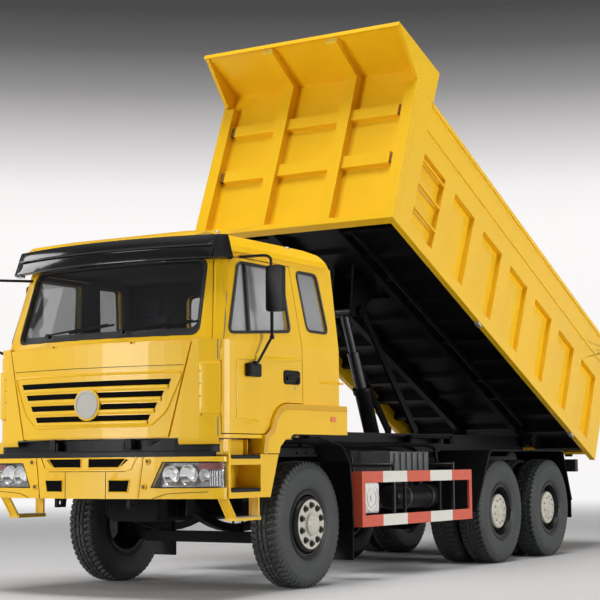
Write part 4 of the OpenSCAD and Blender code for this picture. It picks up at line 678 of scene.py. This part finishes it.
def cab_point(x, z, out=0.0):
    """Point on the cab's front: an arc of FRONT_ARC with round corners, which narrows and shortens up to the gutter."""
    x, z = np.broadcast_arrays(np.asarray(x, float), np.asarray(z, float))
    t = np.clip((z - WAIST) / (GUTTER - WAIST), 0, 1)
    front = np.where(z > WAIST, CAB_FRONT + SCREEN_BACK, CAB_FRONT)
    wide = x / (1 - NARROWING * t)
    arc = front + FRONT_ARC - np.sqrt((FRONT_ARC + out) ** 2 - wide ** 2)
    past = np.maximum(np.abs(wide) - CORNER_X, 0)
    corner = front + CORNER_BACK - np.sqrt(np.maximum((CORNER_R + out) ** 2 - past ** 2, 0))
    y = np.where(np.abs(wide) < CORNER_X + (CORNER_R + out) * CORNER_SINE, arc, corner)
    return np.stack([x, CAB_REAR + (y - CAB_REAR) * (1 - SHORTENING * t) - MIDDLE, z], -1)


def side_point(y, z, out=0.0):
    """Point on the cab's left side at station y and height z, moved outwards; it follows the rounded front corner."""
    y, z = np.broadcast_arrays(np.asarray(y, float), np.asarray(z, float))
    t = np.clip((z - WAIST) / (GUTTER - WAIST), 0, 1)
    centre = np.where(z > WAIST, CAB_FRONT + SCREEN_BACK, CAB_FRONT) + CORNER_BACK
    reach = CAB_REAR + (y - CAB_REAR) / (1 - SHORTENING * t)
    before = np.minimum(reach - centre, 0)
    wide = np.where(reach > centre, CAB_HALF, CORNER_X + np.sqrt(np.maximum(CORNER_R ** 2 - before ** 2, 0)))
    return np.stack([wide * (1 - NARROWING * t) + out, y - MIDDLE, z], -1)


def bead(path, out, across, width, height):
    """Pressed swage: a bump width wide and height high carried along a path, running out to nothing at both ends."""
    path = np.array(path, float)
    s = np.linspace(-1, 1, 9)
    fade = np.minimum(1, 5 * np.minimum(np.linspace(0, 1, len(path)), np.linspace(1, 0, len(path))))[:, None]
    rise = height * fade * (1 - s ** 2) ** 2 - 0.002
    points = path[:, None] + np.asarray(across) * (width * s)[None, :, None] + np.asarray(out) * rise[..., None]
    return points, grid_faces(len(path), 9)


def on_corner(angle, z, radius=CORNER_R + 0.004):
    """Point on the cab's front corner at an angle in radians, counted from straight out to the left."""
    radius, angle, z = np.broadcast_arrays(radius, angle, z)
    y = CAB_FRONT + CORNER_BACK + radius * np.sin(angle) - MIDDLE
    return np.stack([CORNER_X + radius * np.cos(angle), y, z], -1)


phi = np.radians(np.linspace(-73, -35, 16))[:, None]
vane_z = np.array([1.470, 1.490, 1.500, 1.56, 1.65, 1.75, 1.84, 1.905, 1.915, 1.935])
flank = np.array([0.0, 0.0, 1, 1, 1, 1, 1, 1, 0.0, 0.0])
swell = 0.020 * flank * np.clip((phi - phi[0]) / np.radians(22), 0, 1) ** 0.7
edge_on = np.concatenate([CORNER_R + swell, np.full((1, 10), CORNER_R - 0.001)])
vane = on_corner(np.concatenate([phi, phi[-1:]]), vane_z, edge_on)
put("corner_vanes", mirrored([(vane, grid_faces(17, 10))]), yellow, "cab")
slit_line = [on_corner(np.radians(a), z) for a, z in ((-70, 1.48), (-66, 1.53), (-65, 1.6), (-65, 1.88))]
slits = [tube(bent(slit_line), 0.003, 6)]
slits += [tube(on_corner(np.radians([-73, -69, -65]), z), 0.003, 6) for z in (1.64, 1.74, 1.84)]
put("vane_slits", mirrored(slits), groove, "cab")
cab_ribs = [bead(side_point(np.linspace(0.04, 0.42, 12), 1.805), (1, 0, 0), (0, 0, 1), 0.016, 0.020),
            box(at(1.19, 0.40, 1.795), at(1.232, 0.475, 1.815))]
cab_ribs += [bead([at(x, 0.4205, z) for x in np.linspace(-1.0, 1.0, 24)], (0, 1, 0), (0, 0, 1), 0.035, 0.014)
             for z in (1.50, 1.70, 1.90, 2.08)]
put("cab_ribs", mirrored(cab_ribs), yellow, "cab")
marker, _ = blank("orange_marker", (0.80, 0.16, 0.01), 0.2, Coat_Weight=0.6)
put("flare_marker", mirrored([box(at(1.243, 0.215, 1.455), at(1.253, 0.30, 1.500))]), marker, "cab")
arch = np.radians(np.linspace(163, 90, 14))
arch_line = np.stack([-0.470 + 0.280 * np.cos(arch), 1.320 + 0.280 * np.sin(arch)], -1)
flat_line = [(y, 1.600) for y in np.linspace(-0.40, 0.505, 12)]
edge_run = np.concatenate([[(-0.880, 1.175), (-0.865, 1.2475), (-0.850, 1.320)], arch_line, flat_line])
way = np.gradient(edge_run, axis=0)
square_in = np.stack([way[:, 1], -way[:, 0]], -1) / np.linalg.norm(way, axis=1)[:, None]
lift_off = [(0.002, 1.2405), (0.004, 1.2465), (0.026, 1.2500), (0.046, 1.2525), (0.050, 1.2500), (0.053, 1.2440)]
flare_lip = np.stack([np.insert(edge_run + square_in * d, 0, x, axis=1) for d, x in lift_off]) - [0, MIDDLE, 0]
# The flare's rolled lip and the door creases are drawn in a darker yellow: painted shade on the cab's own yellow.
shaded_yellow = coated("painted_shade_yellow", (0.68, 0.36, 0.004), 0.4, mottle=0.04)
put("flare_lips", mirrored([(flare_lip, grid_faces(6, len(edge_run)))]), shaded_yellow, "cab")
put("flare_seam", mirrored([tube([at(1.246, -0.878, 1.170), at(1.246, -0.638, 1.170)], 0.003, 6)]), groove, "cab")
liner = np.array([[at(x, y, 2.842) for y in np.linspace(-1.22, 0.34, 8)] for x in np.linspace(-1.04, 1.04, 8)])
headlining, _ = blank("headlining", (0.24, 0.24, 0.23), 0.9)
put("cab_headlining", [(liner, grid_faces(8, 8))], headlining, "cab")
skirt_x = np.concatenate([np.linspace(0.86, 1.03, 8),
                          CORNER_X + CORNER_R * np.cos(np.radians(np.linspace(-72, -36, 10)))])
skirt_edge = [(1.312, 0.0015), (1.300, 0.0015), (1.262, -0.004), (1.250, -0.014), (1.250, -0.04)]
skirt = np.stack([cab_point(skirt_x, z, out) for z, out in skirt_edge])
put("corner_skirts", mirrored([(skirt, grid_faces(5, 18))]), yellow, "cab")
snorkel = [box(at(-1.05, 0.50, 1.45), at(-0.78, 0.66, 2.55), 0.03),
           box(at(-1.08, 0.48, 2.50), at(-0.75, 0.70, 2.78), 0.03)]
snorkel += [box(at(-1.02, 0.41, z), at(-0.82, 0.51, z + 0.04)) for z in (1.7, 2.3)]
put("air_intake", snorkel, plastic, "cab")

# Windows
# Laminated panes bonded into black rubber seals; the screen has a black printed border and two parked wipers.


def rounded(points, radius, steps=5):
    """Closed outline: quadratic curves begin radius from each corner; the straight runs between are cut in eight."""
    p = np.array(points, float)
    t = np.linspace(0, 1, steps)[:, None]
    out = []
    for a, b, c in zip(np.roll(p, 1, 0), p, np.roll(p, -1, 0)):
        s, e = b + (a - b) / np.linalg.norm(a - b) * radius, b + (c - b) / np.linalg.norm(c - b) * radius
        out += list((1 - t) ** 2 * s + 2 * t * (1 - t) * b + t ** 2 * e)
        far = c + (b - c) / np.linalg.norm(c - b) * radius
        out += [e + (far - e) * k / 8 for k in range(1, 8)]
    return np.array(out)


glass, _ = blank("screen_glass", (0.03, 0.032, 0.034), 0.02, Alpha=0.25, IOR=1.6)
# The side panes are pale grey and partly opaque: painted reflection of the bright studio in the glass.
side_glass_painted_reflection, _ = blank("side_glass_painted_reflection", (0.72, 0.73, 0.74), 0.12, Alpha=0.42, IOR=1.4)
seal, _ = blank("window_seal", (0.010, 0.010, 0.011), 0.5)
dress(["cab_glass"], glass)
dress(["door_glass_left", "door_glass_right"], side_glass_painted_reflection)
SILL = 2.150
screen = [(-0.970, SILL), (0.970, SILL), (0.925, 2.790), (-0.925, 2.790)]
rim_line = rounded(screen, 0.075)
inner_line = rounded([(x * 0.955, SILL + 0.055 + (z - SILL) * 0.87) for x, z in screen], 0.075)
sunk = np.array([0, 0.030, 0])
frit = np.stack([cab_point(*rim_line.T) + sunk, cab_point(*inner_line.T) + sunk])
put("screen_border", [(frit, grid_faces(2, len(rim_line), wrap_cols=True))], seal, "cab")
put("screen_seal", [tube(cab_point(*rim_line.T) + [0, 0.006, 0], 0.012, 8, True)], seal, "cab")
wipers = []
for x0, x1 in ((-0.55, 0.10), (0.28, 0.90)):
    foot, tip_end = cab_point(x0, 2.197, 0.02), cab_point(x1, 2.268, 0.0)
    blade = cab_point(np.linspace(x1 - 0.42, x1 + 0.06, 10), np.linspace(2.212, 2.262, 10), -0.005)
    wipers += [tube(bent([foot, cab_point(x0 + 0.06, 2.212, 0.03), tip_end]), 0.008), tube(blade, 0.009)]
    wipers.append(turned([(0.001, -0.03), (0.02, -0.028), (0.022, 0.01)], foot, 16, 1))
put("wipers", wipers, plastic, "cab")
quarter = rounded([(-0.100, 2.250), (0.250, 2.250), (0.150, 2.775), (-0.190, 2.775)], 0.06)
put("quarter_seals", mirrored([tube(side_point(*quarter.T, 0.0), 0.013, 8, True)]), seal, "cab")
# The quarter panes share the side glass and its painted reflection.
pane_line = rounded([(-0.095, 2.256), (0.243, 2.256), (0.145, 2.768), (-0.183, 2.768)], 0.05)
pane_middle = np.broadcast_to(side_point(0.03, 2.51, -0.022), (len(pane_line), 3))
quarter_pane = np.stack([side_point(*pane_line.T, -0.022), pane_middle])
put("quarter_panes", mirrored([(quarter_pane, grid_faces(2, len(pane_line), wrap_cols=True))]), side_glass_painted_reflection, "cab",
    smooth=False)
rear_window = rounded([(-0.45, 2.23), (0.45, 2.23), (0.45, 2.70), (-0.45, 2.70)], 0.08)
rear_line = np.insert(rear_window, 1, CAB_REAR - MIDDLE, axis=1)
put("rear_seal", [tube(rear_line, 0.013, 8, True)], seal, "cab")

# Front flap
# A pressed yellow panel with a swage below its top, a raised frame round four slots and a plain round boss.
dress(["front_flap"], yellow, 0.005)
# A black sheet behind the slots: painted shade for the dark space behind the grille.
backing = np.stack([cab_point(np.linspace(-0.84, 0.84, 24), z) + [0, 0.0335, 0] for z in (1.42, 1.55, 1.68, 1.80)])
put("grille_backing", [(backing, grid_faces(4, 24))], painted_shade_sheet, "front_flap")
frame_line = rounded([(-0.62, 1.405), (0.62, 1.405), (0.755, 1.52), (0.90, 1.84), (-0.90, 1.84), (-0.755, 1.52)], 0.05)
put("grille_frame", [tube(cab_point(*frame_line.T), 0.011, 8, True)], yellow, "front_flap")
# Black strips on the face over the lower part of each slot: painted shade where the slot's inside is hidden.
lips, slots = [], []
lip_section = [(0.003, 0.002), (-0.008, -0.002), (-0.013, -0.012), (-0.010, -0.030), (0.0, -0.040)]
for i in range(4):
    low, half = 1.450 + 0.096 * i, 0.590 + 0.062 * i
    x = np.linspace(-half, half, 30)
    lips.append((np.stack([cab_point(x, low + dz) + [0, dy, 0] for dy, dz in lip_section]), grid_faces(5, 30)))
    rows = [cab_point(np.linspace(-half - more, half + more, 30), low + dz, 0.001)
            for dz, more in ((0.0, 0.004), (0.046, 0.026))]
    slots.append((np.stack(rows), grid_faces(2, 30)))
put("grille_lips", lips, yellow, "front_flap")
put("grille_slot_shade", slots, painted_shade_sheet, "front_flap")
mesh_bars = [tube(cab_point(np.linspace(-0.78, 0.78, 20), z) + [0, 0.024, 0], 0.004, 6)
             for z in (1.472, 1.568, 1.664, 1.760)]
put("grille_mesh", mesh_bars, plastic, "front_flap")
put("flap_swage", [tube(cab_point(np.linspace(-0.905, 0.905, 40), 1.895), 0.0028, 6)], groove, "front_flap")
boss = cab_point(0.0, 1.590)
pale_trim, _ = blank("bare_boss", (0.52, 0.51, 0.46), 0.5, Specular_IOR_Level=0.2)
boss_ring = turned([(0.135, 0.03), (0.135, -0.014), (0.120, -0.020), (0.112, -0.020)], boss, 48, 1)
put("grille_boss", [boss_ring], yellow, "front_flap")
boss_disc = turned([(0.122, -0.016), (0.118, -0.026), (0.106, -0.028), (0.100, -0.022), (0.001, -0.024)], boss, 48, 1)
put("boss_face", [boss_disc], pale_trim, "front_flap")

# Doors
# Steel doors with pressed swages and a black grab handle in a bowl; a divider bar stands behind the fixed front light.
# The mirrors hang on bent steel arms.
panel = [bead(side_point(np.linspace(*ys, n), np.linspace(*zs, n)), (1, 0, 0), (0, 0, 1), 0.026, 0.012)
         for ys, zs, n in (((-1.19, -0.24), (1.955, 1.985), 30), ((-1.20, -0.86), (1.450, 1.425), 16))]
panel.append(bead(side_point(-1.225, np.linspace(1.44, 1.95, 20)), (1, 0, 0), (0, 1, 0), 0.026, 0.008))
# Thin darker yellow tubes along the swages' edges: painted shade in the creases.
creases = [tube(side_point(np.linspace(*ys, n), np.linspace(*zs, n), 0.0005), r, 6) for ys, zs, n, r in (
    ((-1.215, -0.225), (1.944, 1.984), 30, 0.004), ((-1.238, -1.238), (1.46, 1.93), 16, 0.0035),
    ((-1.20, -0.90), (1.462, 1.436), 12, 0.004))]
window = rounded([(-1.288, 2.160), (-0.390, 2.225), (-0.440, 2.765), (-1.085, 2.765)], 0.05)
up = np.linspace(0, 1, 14)
corner_fill = np.stack([side_point(foot + lean * up, SILL + 0.630 * up, 0.0012)
                        for foot, lean in ((-1.308, 0.113), (-1.286, 0.203))])
bowl_line = rounded([(-0.520, 1.765), (-0.258, 1.765), (-0.258, 1.888), (-0.520, 1.888)], 0.038)
bowl_mid = np.array([-0.389, 1.8265])
bowl_section = [(1.0, 1.210), (1.0, 1.222), (0.94, 1.229), (0.84, 1.229), (0.76, 1.219), (0.02, 1.217)]
bowl_rings = np.stack([np.insert(bowl_mid + (bowl_line - bowl_mid) * k, 0, x, axis=1)
                       for k, x in bowl_section]) - [0, MIDDLE, 0]
mirror_face, _ = blank("mirror_face", (0.75, 0.77, 0.78), 0.04, Metallic=1.0)
for side_name, sign in (("left", 1), ("right", -1)):
    body = "door_" + side_name
    over = lambda parts: [(np.asarray(p).reshape(-1, 3) * [sign, 1, 1], f) for p, f in parts]
    put(body + "_swages", over(panel + [(corner_fill, grid_faces(2, 14))]), yellow, body)
    put(body + "_creases", over(creases), shaded_yellow, body)
    divider = [side_point(-1.01, 2.178, -0.016), side_point(-0.975, 2.768, -0.016)]
    put(body + "_seal", over([tube(side_point(*window.T), 0.014, 8, True), tube(divider, 0.018, 8)]), seal, body)
    grip = bent([at(1.225, -0.475, 1.815), at(1.246, -0.44, 1.828), at(1.246, -0.33, 1.842), at(1.225, -0.295, 1.835)])
    bowl = [(bowl_rings, grid_faces(6, len(bowl_line), wrap_cols=True)), tube(grip, 0.015, 10),
            turned([(0.001, 0.008), (0.016, 0.008), (0.018, 0.0)], at(1.224, -0.285, 1.795), 16)]
    put(body + "_handle", over(bowl), plastic, body)
    barrel = turned([(0.001, 0.004), (0.012, 0.004), (0.013, 0.0)], at(1.215, -0.33, 1.735), 16)
    put(body + "_lock", over([barrel]), nut_pale, body)
    stay = bent([at(1.290, -0.820, 2.73), at(1.290, -0.820, 2.815), at(1.275, -0.87, 2.838), at(1.135, -1.06, 2.812)],
                6, 0.3)
    arm = [tube(stay, 0.012), box(at(1.213, -1.112, 1.808), at(1.270, -0.928, 1.917), 0.016),
           turned([(0.026, 0.0), (0.022, 0.03), (0.001, 0.034)], at(1.252, -1.008, 1.905), 16, 2),
           turned([(0.001, -0.016), (0.020, -0.016), (0.020, 0.016), (0.001, 0.016)], at(1.295, -0.820, 2.145), 16, 2)]
    put(body + "_mirror_arm", over(arm), plastic, body)
    pane = box(at(1.268, -0.7915, 2.380), at(1.400, -0.7885, 2.732), 0.001)
    put(body + "_mirror_face", over([pane]), mirror_face, body)

# Roof, visor and kerb mirror
# The roof panel is welded over a rain gutter; the visor is glossy black acrylic.
# The mirrors' shells and the dashboard are grained black plastic.
dress(["cab_roof"], yellow, 0.012)
acrylic = coated("black_acrylic", (0.008, 0.008, 0.009), 0.14, mottle=0.1, coat=0.6)
dress(["sun_visor"], acrylic, 0.008)
dress(["kerb_mirror", "door_mirror_left", "door_mirror_right", "dashboard"], plastic, 0.010)
ROOF_FRONT = -1.410
drip = [(0.950 + 0.186 * np.cos(a), ROOF_FRONT + 0.317 + 0.186 * np.sin(a)) for a in np.radians(np.linspace(-74, 0, 8))]
front_run = [(x, ROOF_FRONT + FRONT_ARC - np.sqrt((FRONT_ARC + 0.006) ** 2 - x ** 2)) for x in np.linspace(0, 0.99, 12)]
back_run = [(1.136, -0.4), (1.136, 0.30), (1.10, 0.40), (0.6, 0.408), (0.0, 0.408)]
drip_line = np.array([at(x, y, 2.856) for x, y in front_run + drip + back_run])
put("rain_gutter", mirrored([tube(drip_line, 0.011, 8)]), yellow, "cab")
VISOR_ARC, VISOR_FRONT, VISOR_MID_Z = 3.4434, -1.440, 2.88
lip = [at(x, VISOR_FRONT + 3.443 - np.sqrt(3.511 ** 2 - x ** 2), 2.895) for x in np.linspace(-1.05, 1.05, 40)]
put("visor_swage", [tube(lip, 0.009, 8)], acrylic, "cab")
end_r, end_angle, last_angle = 0.085, np.arcsin(1.060 / 3.490), np.radians(78)
pivot_x = (VISOR_ARC - end_r) * np.sin(end_angle)
pivot_y = VISOR_FRONT + VISOR_ARC - (VISOR_ARC - end_r) * np.cos(end_angle)
swing = np.concatenate([np.linspace(end_angle - 0.02, last_angle, 12), [last_angle]])[:, None]
shrink = np.array([1.0] * 12 + [0.02])[:, None]
out_by = end_r + np.array([0.060, 0.086, 0.062, 0.044, 0.024, 0.0, 0.0, 0.060])
heights = np.array([2.771, 2.786, 2.86, 2.925, 2.984, 2.984, 2.771, 2.771])
arm_r = out_by.mean() + (out_by - out_by.mean()) * shrink
level = VISOR_MID_Z + (heights - VISOR_MID_Z) * shrink
cap_ends = np.stack([pivot_x + arm_r * np.sin(swing), pivot_y - arm_r * np.cos(swing) - MIDDLE, level], -1)
put("visor_ends", mirrored([(cap_ends, grid_faces(13, 8))]), acrylic, "cab")
roof_dome = [(0.030, 0.0), (0.028, 0.022), (0.018, 0.034), (0.001, 0.036)]
roof_lamps = [turned(roof_dome, at(*foot), 16, 2) for foot in ((0.90, -1.06, 3.018), (0.98, -0.08, 2.985))]
put("roof_markers", mirrored(roof_lamps), nut_pale, "cab")
vent = [box(at(-0.25, -0.75, 3.068), at(0.25, -0.25, 3.082), 0.006)]
put("roof_hatch", vent, yellow, "cab")
put("kerb_mirror_face", [box(at(-1.385, -1.451, 2.14), at(-1.315, -1.4485, 2.81), 0.001)], mirror_face, "cab")

# Seats
# Woven cloth over foam cushions.
cloth = coated("seat_cloth", (0.09, 0.09, 0.10), 0.85, mottle=0.3, scale=40.0, grain=0.002, grain_scale=420.0)
dress(["seats"], cloth, 0.02)

# Hoist
# Hard-chromed stages that slide out of a black barrel; their colour is darkened, a painted reflection of the bed's dark
# underside.
chrome = coated("rod_chrome", (0.07, 0.07, 0.075), 0.3, mottle=0.15, scale=10.0, metal=1.0)
dress(["hoist_sleeve", "hoist_rod"], chrome)

# Load bed
# Welded plate: folded side pressings with a ladder in the first recess, a ribbed headboard and a top-hung tailgate.
# The floor is yellow inside and black below, with the tipping pipes clipped under it.
dress(["bed_sides", "bed_headboard", "tailgate"], yellow, 0.006)
TIP, HINGE_U, HINGE_Y, HINGE_Z, BED_HALF, BED_L, BED_H = np.radians(24.5), 5.194, 6.244, 1.330, 1.196, 5.755, 1.584
PAINT_LINE = 0.194
bed_black = coated("bed_floor_black", BLACK, 0.34, mottle=0.3, gleam=0.1)
bed_at = spot(bed_black)
back_part = calc(bed_black, "MULTIPLY", calc(bed_black, "SUBTRACT", bed_at["Y"], HINGE_Y - MIDDLE), np.sin(TIP))
up_part = calc(bed_black, "MULTIPLY", calc(bed_black, "SUBTRACT", bed_at["Z"], HINGE_Z), np.cos(TIP))
on_top = calc(bed_black, "GREATER_THAN", calc(bed_black, "ADD", back_part, up_part), PAINT_LINE)
masked(bed_black, on_top, (0.70, 0.40, 0.006), 0.5)
dress(["bed_floor"], bed_black, 0.004)


def raised(parts):
    """Parts drawn in the bed's frame (x, back along the floor, up from it), turned about the raised bed's hinge."""
    out = []
    for p, f in parts:
        x, u, n = np.asarray(p, float).reshape(-1, 3).T
        out.append((np.stack([x, HINGE_Y - MIDDLE + (u - HINGE_U) * np.cos(TIP) + n * np.sin(TIP),
                              HINGE_Z - (u - HINGE_U) * np.sin(TIP) + n * np.cos(TIP)], -1), f))
    return out


PITCH = BED_L * 0.1319
rungs = [box((BED_HALF - 0.028, PITCH * 0.465 - 0.01, n), (BED_HALF + 0.004, PITCH * 1.128 + 0.01, n + 0.022))
         for n in (0.34, 0.62, 0.90)]
rails = [box((BED_HALF - 0.002, 0.30, 1.235), (BED_HALF + 0.010, BED_L - 0.01, 1.247), 0.003),
         box((BED_HALF - 0.002, 0.30, BED_H - 0.055), (BED_HALF + 0.014, BED_L - 0.01, BED_H - 0.004), 0.005)]
put("bed_rungs", mirrored(raised(rungs + rails)), yellow, "bed")
tabs = [box((BED_HALF - 0.055, u, -0.030), (BED_HALF - 0.005, u + 0.09, 0.002)) for u in (2.13, 4.93)]
put("bed_tabs", mirrored(raised(tabs)), nut_pale, "bed")
pipes = [tube([(0.55, 0.35, 0.085), (0.55, 4.9, 0.085)], 0.014), tube([(0.58, 0.35, 0.09), (0.58, 4.7, 0.09)], 0.008)]
put("floor_pipes", raised(pipes), chassis_black, "bed")
shade, _ = blank("shaded_mouth", (0.20, 0.095, 0.006), 0.7)
mouths = [box((1.004, 0.052 - 0.100 * n / 1.82, n + 0.012), (1.068, 0.096 - 0.100 * n / 1.82, n + 0.118), 0.002)
          for n in (0.680, 1.250)]
put("rib_mouths", mirrored(raised(mouths)), shade, "bed", smooth=False)
# Paler yellow squares on the forward ends of the headboard ribs: painted highlight where light falls on them.
painted_highlight_yellow = coated("rib_end_painted_highlight", (0.90, 0.68, 0.10), 0.4, mottle=0.04)
caps = [box((0.392 - 0.064, -0.604, 1.831), (0.392 + 0.064, -0.600, 1.898), 0.001)]
put("rib_caps", mirrored(raised(caps)), painted_highlight_yellow, "bed", smooth=False)
latches = [box((x - 0.05, BED_L + 0.062, 0.09), (x + 0.05, BED_L + 0.085, 0.20)) for x in (-0.8, 0.8)]
put("gate_latches", raised(latches), nut_dark, "tailgate")
gate_eyes = [turned([(0.045, -0.004), (0.052, 0.0), (0.045, 0.012), (0.001, 0.014)],
                    (BED_HALF, BED_L + 0.036, BED_H - 0.05), 24)]
put("gate_pins", mirrored(raised(gate_eyes)), nut_dark, "bed")
